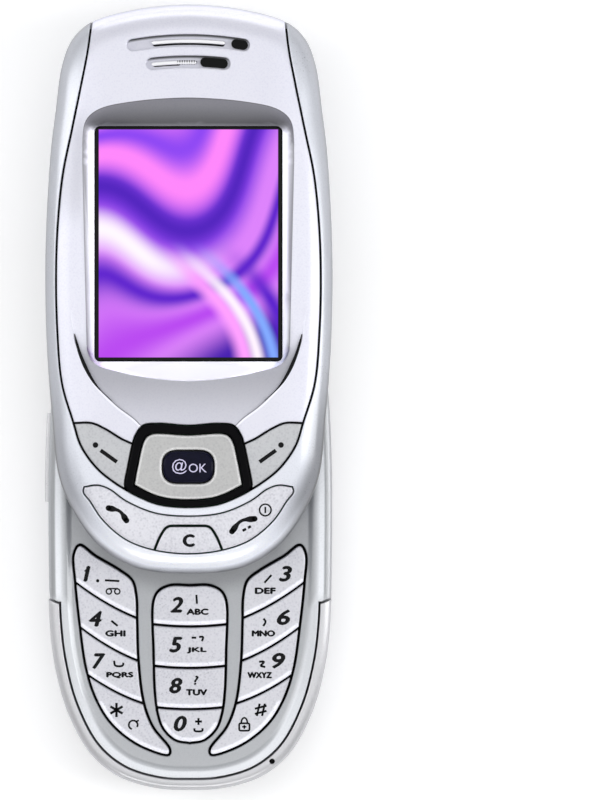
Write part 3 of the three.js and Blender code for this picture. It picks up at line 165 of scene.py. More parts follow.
def spline(points, closed=False, per=16):
    """A cubic through each pair of points, its slopes from the neighbours, spaced by root distance."""
    p = np.asarray(points, float)
    if closed:
        p = np.vstack([p[-1], p, p[0], p[1]])
    else:
        p = np.vstack([2 * p[0] - p[1], p, 2 * p[-1] - p[-2]])
    a, b, c, d = p[:-3], p[1:-2], p[2:-1], p[3:]
    gap_a, gap_b, gap_c = (np.sqrt(np.linalg.norm(v, axis=1))[:, None] for v in (b - a, c - b, d - c))
    slope_b = ((b - a) / gap_a - (c - a) / (gap_a + gap_b) + (c - b) / gap_b) * gap_b
    slope_c = ((c - b) / gap_b - (d - b) / (gap_b + gap_c) + (d - c) / gap_c) * gap_b
    t = np.linspace(0, 1, per, endpoint=False)[None, :, None]
    b, c, slope_b, slope_c = (v[:, None, :] for v in (b, c, slope_b, slope_c))
    curve = (2 * t**3 - 3 * t**2 + 1) * b + (t**3 - 2 * t**2 + t) * slope_b
    curve = (curve + (3 * t**2 - 2 * t**3) * c + (t**3 - t**2) * slope_c).reshape(-1, 2)
    return curve if closed else np.vstack([curve, p[-2]])


def even(line, count, closed=True):
    """The same line with its points at equal distances along it."""
    full = np.vstack([line, line[:1]]) if closed else line
    length = np.r_[0, np.cumsum(np.linalg.norm(np.diff(full, axis=0), axis=1))]
    at = np.linspace(0, length[-1], count, endpoint=not closed)
    return np.column_stack([np.interp(at, length, full[:, i]) for i in (0, 1)])


def mirror(line):
    """The line's mirror image in the middle plane, run the other way."""
    return (line * (-1, 1))[::-1]


def right_of(line):
    """The points of a line that don't lie left of the middle."""
    return line[line[:, 0] >= -TINY]


def both_sides(right):
    """A line from the middle low end to the middle high end, closed by its mirror image."""
    right = right_of(right)
    return np.vstack([right, mirror(right[right[:, 0] > TINY])])


def chain(*lines):
    """Lines end to end, without the points that they share."""
    points = np.vstack(lines)
    apart = np.linalg.norm(np.diff(points, axis=0), axis=1) > 100 * TINY
    return points[np.r_[True, apart]]


def grow(loop, distance):
    """The loop moved out along the bisectors of its corners, or in where the distance is negative."""
    into = loop - np.roll(loop, 1, axis=0)
    out = np.roll(loop, -1, axis=0) - loop
    into = into / np.linalg.norm(into, axis=1, keepdims=True)
    out = out / np.linalg.norm(out, axis=1, keepdims=True)
    bisector = np.column_stack([into[:, 1] + out[:, 1], -into[:, 0] - out[:, 0]])
    length = np.maximum((bisector**2).sum(axis=1, keepdims=True), 1)
    return loop + bisector * 2 * distance / length


def rows(loop, *insets):
    """The loop moved in by each of the insets."""
    return [grow(loop, -inset) for inset in insets]


def rounded(corners, radius, steps=6):
    """A polygon with parabolas for corners, each from the radius before the corner to the radius after it."""
    corners = np.asarray(corners, float)
    before, after = np.roll(corners, 1, axis=0), np.roll(corners, -1, axis=0)
    share_in = np.minimum(radius / np.linalg.norm(corners - before, axis=1), 0.45)[:, None]
    share_out = np.minimum(radius / np.linalg.norm(corners - after, axis=1), 0.45)[:, None]
    start, end = corners + (before - corners) * share_in, corners + (after - corners) * share_out
    t = np.linspace(0, 1, steps + 1)[None, :, None]
    curve = (1 - t) ** 2 * start[:, None] + 2 * t * (1 - t) * corners[:, None] + t**2 * end[:, None]
    return curve.reshape(-1, 2)


def rectangle(x0, x1, y0, y1):
    """A rectangle's four corners, left turning."""
    return np.array([(x0, y0), (x1, y0), (x1, y1), (x0, y1)], float)


def circle(x, y, radius, count=96, squash=1.0):
    """Points at equal turns: the cosine across and the sine up, which squash flattens."""
    turn = np.linspace(0, 2 * math.pi, count, endpoint=False)
    return np.column_stack([x + radius * np.cos(turn), y + radius * squash * np.sin(turn)])


def inside(points, loop):
    """Even and odd crossings of a ray along X with the loop's sides."""
    a, b = loop, np.roll(loop, -1, axis=0)
    x, y = points[:, :1], points[:, 1:]
    crosses = (a[:, 1] > y) != (b[:, 1] > y)
    run = np.where(b[:, 1] == a[:, 1], 1, b[:, 1] - a[:, 1])
    right = x < a[:, 0] + (y - a[:, 1]) * (b[:, 0] - a[:, 0]) / run
    return ((crosses & right).sum(axis=1) % 2).astype(bool)


def distance_to(points, loops, closed=True):
    """The distance from each point to the nearest side of any of the loops."""
    best = np.full(len(points), 1e9)
    for loop in loops:
        a, along = loop, np.roll(loop, -1, axis=0) - loop
        if not closed:
            a, along = a[:-1], along[:-1]
        squared = np.maximum((along**2).sum(axis=1), 1e-12)
        for start in range(0, len(points), 2000):
            part = points[start:start + 2000, None, :] - a
            share = np.clip((part * along).sum(axis=2) / squared, 0, 1)
            gap = np.linalg.norm(part - share[:, :, None] * along, axis=2).min(axis=1)
            best[start:start + 2000] = np.minimum(best[start:start + 2000], gap)
    return best


def depth_in(loop, x, y):
    """How far inside the loop each place lies, and 0 outside it."""
    points = np.column_stack([x, y])
    return np.where(inside(points, loop), distance_to(points, [loop]), 0)


class Outline:
    """One half's outline, with the rings that its rounded edges are drawn through."""

    def __init__(self, shares, half, middle):
        nominal = np.array(shares, float) * (HALF_WIDTH, half) + (0, middle)
        self.half, self.middle = half, middle
        self.loop = even(spline(both_sides(nominal), True, 24), OUTLINE_POINTS)
        unit = (self.loop - (0, middle)) / (HALF_WIDTH, half)
        turn = np.arctan2(unit[:, 1], unit[:, 0])
        order = np.argsort(turn)
        self.turn, self.radius = turn[order], np.hypot(unit[:, 0], unit[:, 1])[order]

    def ring(self, inset):
        """The outline scaled towards its middle, so that its sides come in by the inset."""
        scale = np.array([1 - inset / HALF_WIDTH, 1 - inset / self.half])
        return (self.loop - (0, self.middle)) * scale + (0, self.middle)

    def inset(self, x, y):
        """Which ring a point lies on, found by halving."""
        low, high = np.zeros(len(x)), np.full(len(x), 16.0)
        for _ in range(22):
            test = (low + high) / 2
            u = x / (HALF_WIDTH - test)
            v = (y - self.middle) / (self.half - test)
            limit = np.interp(np.arctan2(v, u), self.turn, self.radius, period=2 * math.pi)
            outside = np.hypot(u, v) > limit
            high, low = np.where(outside, test, high), np.where(outside, low, test)
        return low


def edge_drop(inset, reach, rise):
    """How far a quarter ellipse has fallen at that inset from the outline."""
    share = np.clip(1 - inset / reach, 0, 1)
    return rise * (1 - np.sqrt(1 - share**2))


def edge_insets(reach, steps):
    """The insets where a quarter ellipse of that reach has turned by equal angles."""
    return [reach * (1 - math.sin(math.pi / 2 * i / steps)) for i in range(steps + 1)]


def smooth(value, low, high):
    """0 below low, 1 above high, and 3 t squared less 2 t cubed on the way between."""
    t = np.clip((value - low) / (high - low), 0, 1)
    return t * t * (3 - 2 * t)


base = Outline(BASE_SHARES, BASE_HALF, 0)
slider = Outline(SLIDER_SHARES, SLIDER_HALF, SLIDER_MIDDLE)


def base_front(x, y):
    """The keypad half's front: flat, its outer edge a quarter ellipse, and the tray sunk inside it."""
    inset = base.inset(x, y)
    return BASE_TOP - edge_drop(inset, *BASE_FRONT_EDGE) - TRAY_DEPTH * smooth(inset, *TRAY_EDGE)


def base_back(x, y):
    """The keypad half's back: flat on the table, its outer edge a quarter ellipse."""
    return edge_drop(base.inset(x, y), *BASE_BACK_EDGE)


def slider_front(x, y):
    """The display half's front: flat, its outer edge a quarter ellipse."""
    return SLIDER_TOP - edge_drop(slider.inset(x, y), *SLIDER_FRONT_EDGE)


def slider_back(x, y):
    """The display half's back: flat, its outer edge a quarter ellipse."""
    return SLIDER_BACK + edge_drop(slider.inset(x, y), *SLIDER_BACK_EDGE)


# Meshes
def finished(name, vertices, faces, material):
    """A smooth shaded piece from points in millimetres, its place in its mesh."""
    mesh = bpy.data.meshes.new(name)
    mesh.from_pydata((np.asarray(vertices) * MM).tolist(), [], [list(f) for f in faces])
    mesh.materials.append(material)
    mesh.polygons.foreach_set("use_smooth", np.ones(len(mesh.polygons), bool))
    mesh.update()
    piece = bpy.data.objects.new(name, mesh)
    bpy.context.scene.collection.objects.link(piece)
    return piece


def levels(rule, *places):
    """A rule is one level for all, or a function of the places."""
    return rule(*places) if callable(rule) else np.full(len(places[0]), float(rule))


def sheet_mesh(height, keep, cut=(), rings=(), soft=None, radius=0.15, foot=None, up=1, fill=0.0):
    """A sheet over a flat region: inside every loop of keep and outside every loop of cut.

    Each point has the level height, or height(x, y). Near a soft loop it falls by a quarter circle of the
    radius. The rim goes down to foot, or foot(level), where a second sheet closes it. up is 1 for a front
    and -1 for a back. fill is the pitch of extra points between the loops, each row shifted by half a pitch.
    """
    soft = [*keep, *cut] if soft is None else soft
    lines = [*keep, *cut, *rings]
    for loop in soft:
        way = -1 if any(loop is k for k in keep) else 1
        lines += [grow(loop, way * radius * (1 - math.sin(t))) for t in (0, 0.35, 0.75, 1.15)]
    points = np.vstack(lines)
    if fill:
        low, high = points.min(axis=0), points.max(axis=0)
        across, along = np.arange(low[0], high[0], fill), np.arange(low[1], high[1], fill * 0.87)
        spread_x, spread_y = np.meshgrid(across, along)
        spread_x[1::2] += fill / 2
        extra = np.column_stack([spread_x.ravel(), spread_y.ravel()])
        kept = distance_to(extra, lines) > fill * 0.45
        for loop in keep:
            kept &= inside(extra, loop)
        points = np.vstack([points, extra[kept]])
    edges, first = [], 0
    for line in lines:
        index = np.arange(len(line)) + first
        edges += list(zip(index.tolist(), np.roll(index, -1).tolist()))
        first += len(line)
    out = delaunay_2d_cdt([Vector(p) for p in points.tolist()], edges, [], 0, 1e-4)
    flat = np.array([v[:] for v in out[0]])
    faces = np.array([f for f in out[2] if len(f) == 3])
    middle = flat[faces].mean(axis=1)
    held = np.ones(len(faces), bool)
    for loop in keep:
        held &= inside(middle, loop)
    for loop in cut:
        held &= ~inside(middle, loop)
    faces = faces[held]
    side = flat[faces[:, 1]] - flat[faces[:, 0]], flat[faces[:, 2]] - flat[faces[:, 0]]
    turned = (side[0][:, 0] * side[1][:, 1] - side[0][:, 1] * side[1][:, 0]) * up < 0
    faces[turned] = faces[turned][:, ::-1]
    used, faces = np.unique(faces, return_inverse=True)
    faces, flat = faces.reshape(-1, 3), flat[used]
    level = levels(height, flat[:, 0], flat[:, 1])
    if soft:
        gap = np.clip(1 - distance_to(flat, soft) / radius, 0, 1)
        level = level - up * radius * (1 - np.sqrt(1 - gap**2))
    low = levels(foot, level)
    directed = np.vstack([faces[:, [0, 1]], faces[:, [1, 2]], faces[:, [2, 0]]])
    key = directed[:, 0] * len(flat) + directed[:, 1]
    rim = directed[~np.isin(key, directed[:, 1] * len(flat) + directed[:, 0])]
    count = len(flat)
    walls = np.column_stack([rim[:, 0] + count, rim[:, 1] + count, rim[:, 1], rim[:, 0]])
    vertices = np.vstack([np.column_stack([flat, level]), np.column_stack([flat, low])])
    return vertices, [*faces.tolist(), *(faces[:, ::-1] + count).tolist(), *walls.tolist()]


def joined(parts):
    """Several vertex and face lists as one."""
    vertices, faces, first = [], [], 0
    for points, polygons in parts:
        vertices.append(points)
        faces += [[i + first for i in polygon] for polygon in polygons]
        first += len(points)
    return np.vstack(vertices), faces


def grid(points, closed_u=False, closed_v=False):
    """Faces between the rows and columns of a grid of points."""
    rows, columns = points.shape[:2]
    index = np.arange(rows * columns).reshape(rows, columns)
    if closed_u:
        index = np.vstack([index, index[:1]])
    if closed_v:
        index = np.column_stack([index, index[:, :1]])
    quads = np.stack([index[:-1, :-1], index[:-1, 1:], index[1:, 1:], index[1:, :-1]], axis=-1).reshape(-1, 4)
    return points.reshape(-1, 3), quads.tolist()


def ribbon(line, width, level, thickness=0.03, closed=False):
    """A flat strip of one width along a line: the line moved both ways along its normals."""
    line = np.asarray(line, float)
    if closed:
        slope = np.roll(line, -1, axis=0) - np.roll(line, 1, axis=0)
    else:
        slope = np.gradient(line, axis=0)
    normal = np.column_stack([slope[:, 1], -slope[:, 0]]) / np.linalg.norm(slope, axis=1, keepdims=True)
    wide = np.broadcast_to(np.asarray(width, float), (len(line),))[:, None] / 2
    out, back = line + normal * wide, line - normal * wide
    level = np.broadcast_to(np.asarray(level, float), (len(line),))[:, None]
    rows = [np.hstack([out, level]), np.hstack([back, level]), np.hstack([back, level - thickness]),
            np.hstack([out, level - thickness])]
    vertices, faces = grid(np.stack(rows, axis=1), closed_u=closed, closed_v=True)
    if not closed:
        last = len(vertices)
        faces += [[3, 2, 1, 0], [last - 4, last - 3, last - 2, last - 1]]
    return vertices, faces


# Shader maths
class Number:
    """A value on its way through a shader. Arithmetic on it adds Math nodes."""

    def __init__(self, paint, socket):
        self.paint, self.socket = paint, socket

    def maths(self, operation, *values):
        return self.paint.maths(operation, self, *values)

    def __add__(self, other):
        return self.maths("ADD", other)

    def __sub__(self, other):
        return self.maths("SUBTRACT", other)

    def __rsub__(self, other):
        return self.paint.maths("SUBTRACT", other, self)

    def __mul__(self, other):
        return self.maths("MULTIPLY", other)

    __radd__, __rmul__ = __add__, __mul__

    def __abs__(self):
        return self.maths("ABSOLUTE")

    def step(self, low, high):
        """0 below low, 1 above high and smooth between."""
        return self.paint.node(
            "ShaderNodeMapRange", {"interpolation_type": "SMOOTHSTEP"},
            {"Value": self, "From Min": low, "From Max": high}, "Result",
        )

    def band(self, middle, width):
        """1 at the middle, falling smoothly to 0 at the width on both sides of it."""
        return 1 - abs(self - middle).step(0, width)


class Paint:
    """One material: its nodes, and the shader that they feed."""

    def __init__(self, name, **constants):
        self.material = bpy.data.materials.new(name)
        self.material.use_nodes = True
        self.tree = self.material.node_tree
        self.shader = self.tree.nodes["Principled BSDF"]
        for socket, value in constants.items():
            self.set(**{socket: value})

    def set(self, **values):
        """Feeds the shader's sockets, whose names have underscores for spaces here."""
        for socket, value in values.items():
            self.feed(self.shader.inputs[socket.replace("_", " ").replace("  ", " ")], value)
        return self

    def feed(self, socket, value):
        """A link where the value is a Number, and otherwise a constant."""
        if isinstance(value, Number):
            self.tree.links.new(value.socket, socket)
        else:
            socket.default_value = value

    def node(self, kind, settings, inputs, output):
        """Any node: its settings first, then its inputs."""
        node = self.tree.nodes.new(kind)
        for key, value in settings.items():
            setattr(node, key, value)
        for key, value in inputs.items():
            self.feed(node.inputs[key], value)
        return Number(self, node.outputs[output])

    def maths(self, operation, *values):
        return self.node("ShaderNodeMath", {"operation": operation}, dict(enumerate(values)), 0)

    def with_painted_light(self, colour):
        """The colour times the painted light and shade that the mesh carries."""
        painted_light = self.node("ShaderNodeAttribute", {"attribute_name": "painted_light"}, {}, "Fac")
        return self.node("ShaderNodeVectorMath", {"operation": "SCALE"}, {0: colour, "Scale": painted_light}, 0)

    def place(self):
        """The place on the piece, in Object coordinates."""
        return self.node("ShaderNodeTexCoord", {}, {}, "Object")

    def axes(self):
        """The place on the piece in millimetres, as three numbers."""
        node = self.node("ShaderNodeSeparateXYZ", {}, {0: self.place()}, 0).socket.node
        return [Number(self, node.outputs[i]) * (1 / MM) for i in range(3)]

    def noise(self, size, detail=2.0):
        """Noise whose features are about that many millimetres across."""
        inputs = {"Vector": self.place(), "Scale": 1 / (size * MM), "Detail": detail}
        return self.node("ShaderNodeTexNoise", {}, inputs, 0)

    def cells(self, size):
        """The distance to the nearest of scattered points about that many millimetres apart."""
        inputs = {"Vector": self.place(), "Scale": 1 / (size * MM)}
        return self.node("ShaderNodeTexVoronoi", {"feature": "F1"}, inputs, "Distance")

    def mix(self, share, first, second):
        """Two colours mixed by a number."""
        node = self.tree.nodes.new("ShaderNodeMix")
        node.data_type = "RGBA"
        self.feed(node.inputs[0], share)
        self.feed(node.inputs[6], first)
        self.feed(node.inputs[7], second)
        return Number(self, node.outputs[2])

    def bump(self, height, depth):
        """A Normal for heights from 0 to 1, that deep in millimetres."""
        return self.node("ShaderNodeBump", {}, {"Height": height, "Distance": depth * MM, "Strength": 1.0}, 0)


BROAD_PATCH = 14


def rgb(red, green, blue):
    """A colour as it is seen, made linear for the shader."""
    linear = (((c + 0.055) / 1.055) ** 2.4 if c > 0.04 else c / 12.92 for c in (red, green, blue))
    return (*linear, 1.0)


def moulded(name, light, dark, roughness, grain, depth, metallic=0.0, coat=0.0, spread=0.12, with_painted_light=False,
            sheen=0.5):
    """Paint or plastic: two near shades mixed by broad and fine noise, with a fine grain in gloss and relief.

    grain and depth are millimetres, and spread is how much the gloss varies. Where the flag after spread is
    true, the mesh's painted light and shade multiplies the colour.
    """
    paint = Paint(name, Metallic=metallic, Coat_Weight=coat, Coat_Roughness=0.12, Specular_IOR_Level=sheen)
    fine, broad = paint.noise(grain, 3.0), paint.noise(BROAD_PATCH)
    flake = paint.cells(grain * 1.6).step(0.0, 0.6)
    share = (fine * 0.45 + broad * 0.35 + flake * 0.2).step(0.3, 0.7)
    colour = paint.mix(share, dark, light)
    paint.set(Base_Color=paint.with_painted_light(colour) if with_painted_light else colour)
    paint.set(Roughness=(fine - 0.5) * spread + (broad - 0.5) * 0.05 + roughness)
    paint.set(Normal=paint.bump(fine, depth))
    return paint.material


# Each finish: light and dark shade, roughness, then moulded's other values in their order
PALETTE = [
    ("frame_paint", (0.85, 0.86, 0.89), (0.82, 0.83, 0.86), 0.30, 0.22, 0.003, 0.25, 0.3, 0.1, True),
    ("fascia_paint", (0.90, 0.90, 0.94), (0.87, 0.87, 0.92), 0.34, 0.25, 0.003, 0.2, 0.25, 0.12, True),
    ("housing_paint", (0.84, 0.85, 0.865), (0.81, 0.82, 0.835), 0.33, 0.22, 0.004, 0.3, 0.2, 0.12, True),
    ("case_paint", (0.83, 0.83, 0.84), (0.80, 0.80, 0.81), 0.33, 0.22, 0.004, 0.4, 0.2, 0.12, True),
    ("pack_paint", (0.865, 0.865, 0.90), (0.825, 0.825, 0.86), 0.32, 0.22, 0.004, 0.45, 0.2, 0.12, True),
    ("key_silver", (0.875, 0.875, 0.90), (0.79, 0.79, 0.825), 0.3, 0.3, 0.012, 0.15, 0.4, 0.15, True),
    ("band_silver", (0.90, 0.90, 0.925), (0.80, 0.80, 0.83), 0.35, 0.32, 0.018, 0.2, 0.2, 0.2, True),
    ("softkey_silver", (0.78, 0.785, 0.795), (0.71, 0.715, 0.73), 0.34, 0.3, 0.012, 0.3, 0.2, 0.15, True),
    ("pad_silver", (0.76, 0.76, 0.755), (0.70, 0.70, 0.70), 0.36, 0.28, 0.008, 0.25, 0.2, 0.15, True),
    ("side_key_paint", (0.84, 0.84, 0.85), (0.81, 0.81, 0.82), 0.3, 0.22, 0.004, 0.4, 0.2),
    ("dark_plastic", (0.45, 0.44, 0.43), (0.41, 0.40, 0.40), 0.42, 0.25, 0.006),
    ("latch_grey", (0.47, 0.46, 0.465), (0.42, 0.41, 0.415), 0.42, 0.25, 0.008, 0, 0.1, 0.12, True),
    ("lens_black", (0.06, 0.04, 0.08), (0.03, 0.02, 0.05), 0.06, 0.5, 0.001, 0, 0, 0.02, False, 0.1),
    ("mirror_silver", (0.88, 0.87, 0.89), (0.84, 0.83, 0.85), 0.24, 0.5, 0.001, 0.55, 0.3, 0.04),
    ("black_plastic", (0.025, 0.025, 0.035), (0.015, 0.015, 0.025), 0.3, 0.3, 0.003, 0, 0, 0.12, False, 0.05),
    ("black_matt", (0.05, 0.05, 0.055), (0.03, 0.03, 0.035), 0.8, 0.2, 0.02, 0, 0, 0.12, False, 0.2),
    ("navy_gloss", (0.06, 0.06, 0.15), (0.04, 0.04, 0.11), 0.2, 0.4, 0.002, 0, 0, 0.12, False, 0.09),
    ("rubber_grey", (0.60, 0.60, 0.63), (0.55, 0.55, 0.58), 0.75, 0.18, 0.015),
    ("plate_grey", (0.76, 0.765, 0.81), (0.65, 0.655, 0.70), 0.45, 0.28, 0.03, 0.3, 0, 0.25),
    ("recess_grey", (0.86, 0.86, 0.875), (0.77, 0.77, 0.79), 0.45, 0.28, 0.02, 0.3, 0, 0.2),
    ("steel_satin", (0.74, 0.745, 0.76), (0.66, 0.665, 0.68), 0.3, 0.2, 0.006, 1.0),
    ("chrome", (0.93, 0.93, 0.94), (0.90, 0.90, 0.91), 0.08, 0.5, 0.001, 1.0, 0, 0.04),
    ("bar_bright", (0.95, 0.95, 0.96), (0.92, 0.92, 0.93), 0.25, 0.4, 0.001, 0.5, 0.2),
    ("board_green", (0.12, 0.35, 0.22), (0.09, 0.28, 0.18), 0.5, 0.6, 0.01),
    ("copper", (0.78, 0.56, 0.33), (0.72, 0.5, 0.28), 0.3, 0.3, 0.004, 1.0),
    ("card_white", (0.92, 0.91, 0.88), (0.89, 0.88, 0.85), 0.55, 0.3, 0.004),
    ("lamp_clear", (0.90, 0.90, 0.72), (0.82, 0.82, 0.6), 0.15, 0.5, 0.02, 0, 0.8),
    ("ink_black", (0.05, 0.05, 0.06), (0.03, 0.03, 0.04), 0.5, 0.3, 0.001, 0, 0, 0.12, False, 0.15),
    ("ink_pale", (0.86, 0.84, 0.96), (0.82, 0.8, 0.92), 0.4, 0.3, 0.001),
    ("plate_paint", (0.87, 0.87, 0.92), (0.84, 0.84, 0.89), 0.32, 0.25, 0.003, 0.2, 0.3, 0.12, True),
]
MATERIALS = {name: moulded(name, rgb(*light), rgb(*dark), *rest) for name, light, dark, *rest in PALETTE}


def bar_mesh():
    """The lower earpiece bar: bright at its left, at its right a mesh of holes in slanting rows, only
    painted, their dark a painted shade.
    """
    paint = Paint("bar_mesh", Metallic=0.4, Coat_Weight=0.2)
    x, y, _ = paint.axes()
    turn, lean, pitch = math.cos(math.pi / 6), math.sin(math.pi / 6), 9.5
    across, along = ((x * turn + y * slant) * pitch for slant in (lean, -lean))
    hole = (across.maths("SINE") * along.maths("SINE")).step(0.1, 0.4) * x.step(-1.9, -1.6)
    fine = paint.noise(0.25)
    paint.set(Base_Color=paint.mix(hole, rgb(0.95, 0.95, 0.96), rgb(0.45, 0.45, 0.47)))
    paint.set(Roughness=(fine - 0.5) * 0.1 + 0.3, Normal=paint.bump(1 - hole, 0.05))
    return paint.material


MATERIALS["bar_mesh"] = bar_mesh()

BODIES = {node: body for body, nodes in frame["record"]["behaviour"]["bodies"].items() for node in nodes}


SHARP_ANGLE = math.radians(38)
EYE_POWER = 2.2


def place(name, parts, material, node, replace=True, painted_light=None):
    """A new piece that rides with a node's body, and stands for that node where replace is true.

    The last argument, a function of x, y and z, is painted light and shade: the share of its colour that each
    vertex keeps, as the eye sees it.
    """
    vertices = np.asarray(parts[0])
    piece = finished(name, vertices, parts[1], MATERIALS[material])
    piece.data.set_sharp_from_angle(angle=SHARP_ANGLE)
    shares = np.ones(len(vertices)) if painted_light is None else painted_light(*vertices.T) ** EYE_POWER
    piece.data.attributes.new("painted_light", "FLOAT", "POINT").data.foreach_set("value", shares)
    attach(piece, BODIES[node])
    if replace:
        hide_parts(node)
    return piece


# Outlines on the front of the display half
CENTRE_POINTS, SOFTKEY_POINTS, PAD_POINTS = 70, 26, 160
CLEAR_CORNER, WINDOW_CORNER, ARCH_CORNER, OK_CORNER = 0.9, 1.1, 3.0, 2.3
PAD_FRAME_WIDTH, PAD_DROP = 1.33, 0.35
OK_Y, OK_HALF_WIDTH, OK_HALF_HEIGHT = 7.45, 4.0, 2.5
WINDOW_MIDDLE = np.array([0.0, 43.0])

centre_side = even(spline(on_slider(CENTRE_SIDE)), CENTRE_POINTS, False)
softkey_top = even(spline(on_slider(SOFTKEY_TOP)), SOFTKEY_POINTS, False)
softkey_low = even(spline(on_slider(SOFTKEY_LOW)), SOFTKEY_POINTS, False)
pad_low, pad_top, band_low, band_top = (
    right_of(spline(on_slider(shares))) for shares in (PAD_LOW, PAD_TOP, BAND_LOW, BAND_TOP)
)
pad_side = spline(on_slider(PAD_SIDE), per=8)
band_tip = spline([band_low[-1], on_slider(BAND_TIP), band_top[0]], per=8)

centre_loop = both_sides(chain(pad_low, softkey_low, centre_side))
fascia_loop = both_sides(chain(pad_top[::-1], softkey_top[::-1], centre_side))
pad_loop = both_sides(chain(pad_low, pad_side, pad_top))
softkey_loop = chain(softkey_low[1:], softkey_top[1:], pad_side[::-1][1:-6])
band_loop = both_sides(chain(band_low, band_tip, band_top))
clear_loop = rounded(both_sides(on_slider(CLEAR)), CLEAR_CORNER)
window_loop = rounded(both_sides(on_slider(WINDOW)), WINDOW_CORNER)
arch_loop = rounded(both_sides(on_slider(ARCH)), ARCH_CORNER)
bowl_loop = both_sides(spline(on_slider(BOWL), per=8))
pad_inner = even(grow(pad_loop, -PAD_FRAME_WIDTH), PAD_POINTS)
pad_inner = np.mean([np.roll(pad_inner, shift, axis=0) for shift in range(-4, 5)], axis=0)
pad_inner[:, 1] -= PAD_DROP * (1 - smooth(pad_inner[:, 1], 2.5, 6.5))
ok_loop = rounded(
    rectangle(-OK_HALF_WIDTH, OK_HALF_WIDTH, OK_Y - OK_HALF_HEIGHT, OK_Y + OK_HALF_HEIGHT), OK_CORNER, 10)

# Earpiece slots
SLOT_REACH, SLOT_SAG, SLOT_HEIGHT = 9.65, 0.9, 2.0
SLOT_Y = {"upper": 75.4, "lower": 72.0}
SLOT_HALF_LENGTH = {"upper": 8.8, "lower": 5.7}


def arch_strip(x0, x1, y, height):
    """A strip with round ends, its middle line a parabola that sags towards its ends."""
    x = np.linspace(x0, x1, 40)
    middle = np.column_stack([x, y - SLOT_SAG * (x / SLOT_REACH) ** 2])
    turn = np.linspace(-math.pi / 2, math.pi / 2, 9)[1:-1]
    cap = np.column_stack([np.cos(turn), np.sin(turn)]) * height / 2
    return np.vstack([
        middle - (0, height / 2), middle[-1] + cap, (middle + (0, height / 2))[::-1], middle[0] - cap,
    ])


slots = {
    name: arch_strip(-SLOT_HALF_LENGTH[name], SLOT_HALF_LENGTH[name], y, SLOT_HEIGHT)
    for name, y in SLOT_Y.items()
}


# Shells on the front of the display half
REVEAL_DEPTH, REVEAL_BEND = 1.15, 0.85
CHIN_DEPTH, CHIN_LIP = 0.45, 0.24
SHELL_WALL = 1.5


def polar_loop(loop, middle, count=240):
    """The loop resampled at equal turns about a middle."""
    turn = np.arctan2(loop[:, 1] - middle[1], loop[:, 0] - middle[0])
    order = np.argsort(turn)
    at = np.linspace(-math.pi, math.pi, count, endpoint=False)
    radius = np.interp(at, turn[order], np.linalg.norm(loop - middle, axis=1)[order], period=2 * math.pi)
    return np.column_stack([middle[0] + radius * np.cos(at), middle[1] + radius * np.sin(at)])


def reveal_share(points):
    """0 at the arch over the window and 1 at the window, and the distance from the arch."""
    from_arch, from_window = distance_to(points, [arch_loop]), distance_to(points, [window_loop])
    return from_arch / np.maximum(from_arch + from_window, TINY), from_arch


def fascia_level(x, y):
    """The fascia: the rounded front, the sloped reveal round the window, and the dished chin."""
    points = np.column_stack([x, y])
    level = slider_front(x, y)
    reveal = SLIDER_TOP - REVEAL_DEPTH * reveal_share(points)[0] ** REVEAL_BEND
    chin = np.interp(y, on_slider(CHIN_ENDS)[:, 1], [0, CHIN_DEPTH, 0])
    chin = chin * smooth(depth_in(bowl_loop, x, y), 0, CHIN_LIP)
    return np.where(inside(points, arch_loop), np.minimum(reveal, level), level - chin)


def thin(level):
    """The inner side of a front shell: one wall under it, and not below the seam."""
    return np.maximum(level - SHELL_WALL, SLIDER_SEAM + SEAM / 2)


# Painted light and shade: the share of its colour that each place keeps, standing in for highlights and
# shade. Stops are millimetres from an edge, or along X or Y.
def frame_painted_light(x, y, z):
    """Painted light and shade: paler towards the seam and bright on the chin as painted highlight; greyer at
    the sides, darker on the right low down and dark along the outline low down as painted shade.
    """
    inset, low = slider.inset(x, y), smooth(-y, -26, -8)
    side = 0.91 + 0.15 * smooth(inset, 0.5, 2.6) - low * (0.13 - 0.13 * smooth(inset, 1.0, 3.0))
    side = side - 0.12 * low * smooth(x, 10, 18) * (1 - smooth(inset, 2.0, 3.5))
    side = side * (0.86 - 0.2 * low + (0.14 + 0.2 * low) * smooth(inset, 0.05, 0.5))
    chin = 0.76 + 0.44 * smooth(inset, 0.15, 1.2)
    shade = side + (chin - side) * smooth(-y, -4, 6)
    return shade * (1 - 0.4 * low * (1 - smooth(inset, 0.06, 0.3)))


def fascia_painted_light(x, y, z):
    """Painted light and shade: painted shade in the reveal and the dished chin, painted highlights under the
    window and along the edges, and dark painted shadow lines on the chin's edge and the arch's top.
    """
    points = np.column_stack([x, y])
    share, from_arch = reveal_share(points)
    over, side, under = 0.62 - 0.31 * share**1.4, 0.58 + 0.56 * smooth(share, 0.15, 0.6), 1.2
    reveal = np.where(np.abs(x) > 15.02, side, under)
    reveal = under + (reveal - under) * smooth(y, 23.4, 25.4)
    reveal = over + (reveal - over) * (1 - smooth(y, 60.6, 62.4))
    in_bowl, from_bowl = inside(points, bowl_loop), distance_to(points, [bowl_loop])
    rim = slider.inset(x, y)
    plain = 1.01 + 0.03 * smooth(np.abs(x), 12, 18)
    plain = plain + 0.16 * (1 - smooth(rim, 0.8, 1.5)) * smooth(rim, 0.25, 0.55)
    plain = plain - 0.1 * smooth(-x, 13, 17) * smooth(y, 44, 52) * (1 - smooth(y, 60, 66))
    chin = 0.765 + 0.145 * smooth(22.5 - y, 0, 8.5)
    outside = plain + (chin - plain) * in_bowl * smooth(29.0 - y, 0, 6)
    low = smooth(24.0 - y, 0, 4)
    outside = outside + low * (1.12 - outside) * ((from_bowl > 0.1) & (from_bowl < 0.4) & ~in_bowl)
    outside = outside * (1 - 0.65 * (from_bowl < 0.01) * low)
    on_arch = from_arch < 0.01
    reveal = reveal * (1 - 0.45 * on_arch * smooth(y, 58, 62))
    return np.where(inside(points, arch_loop) | on_arch, reveal, outside)


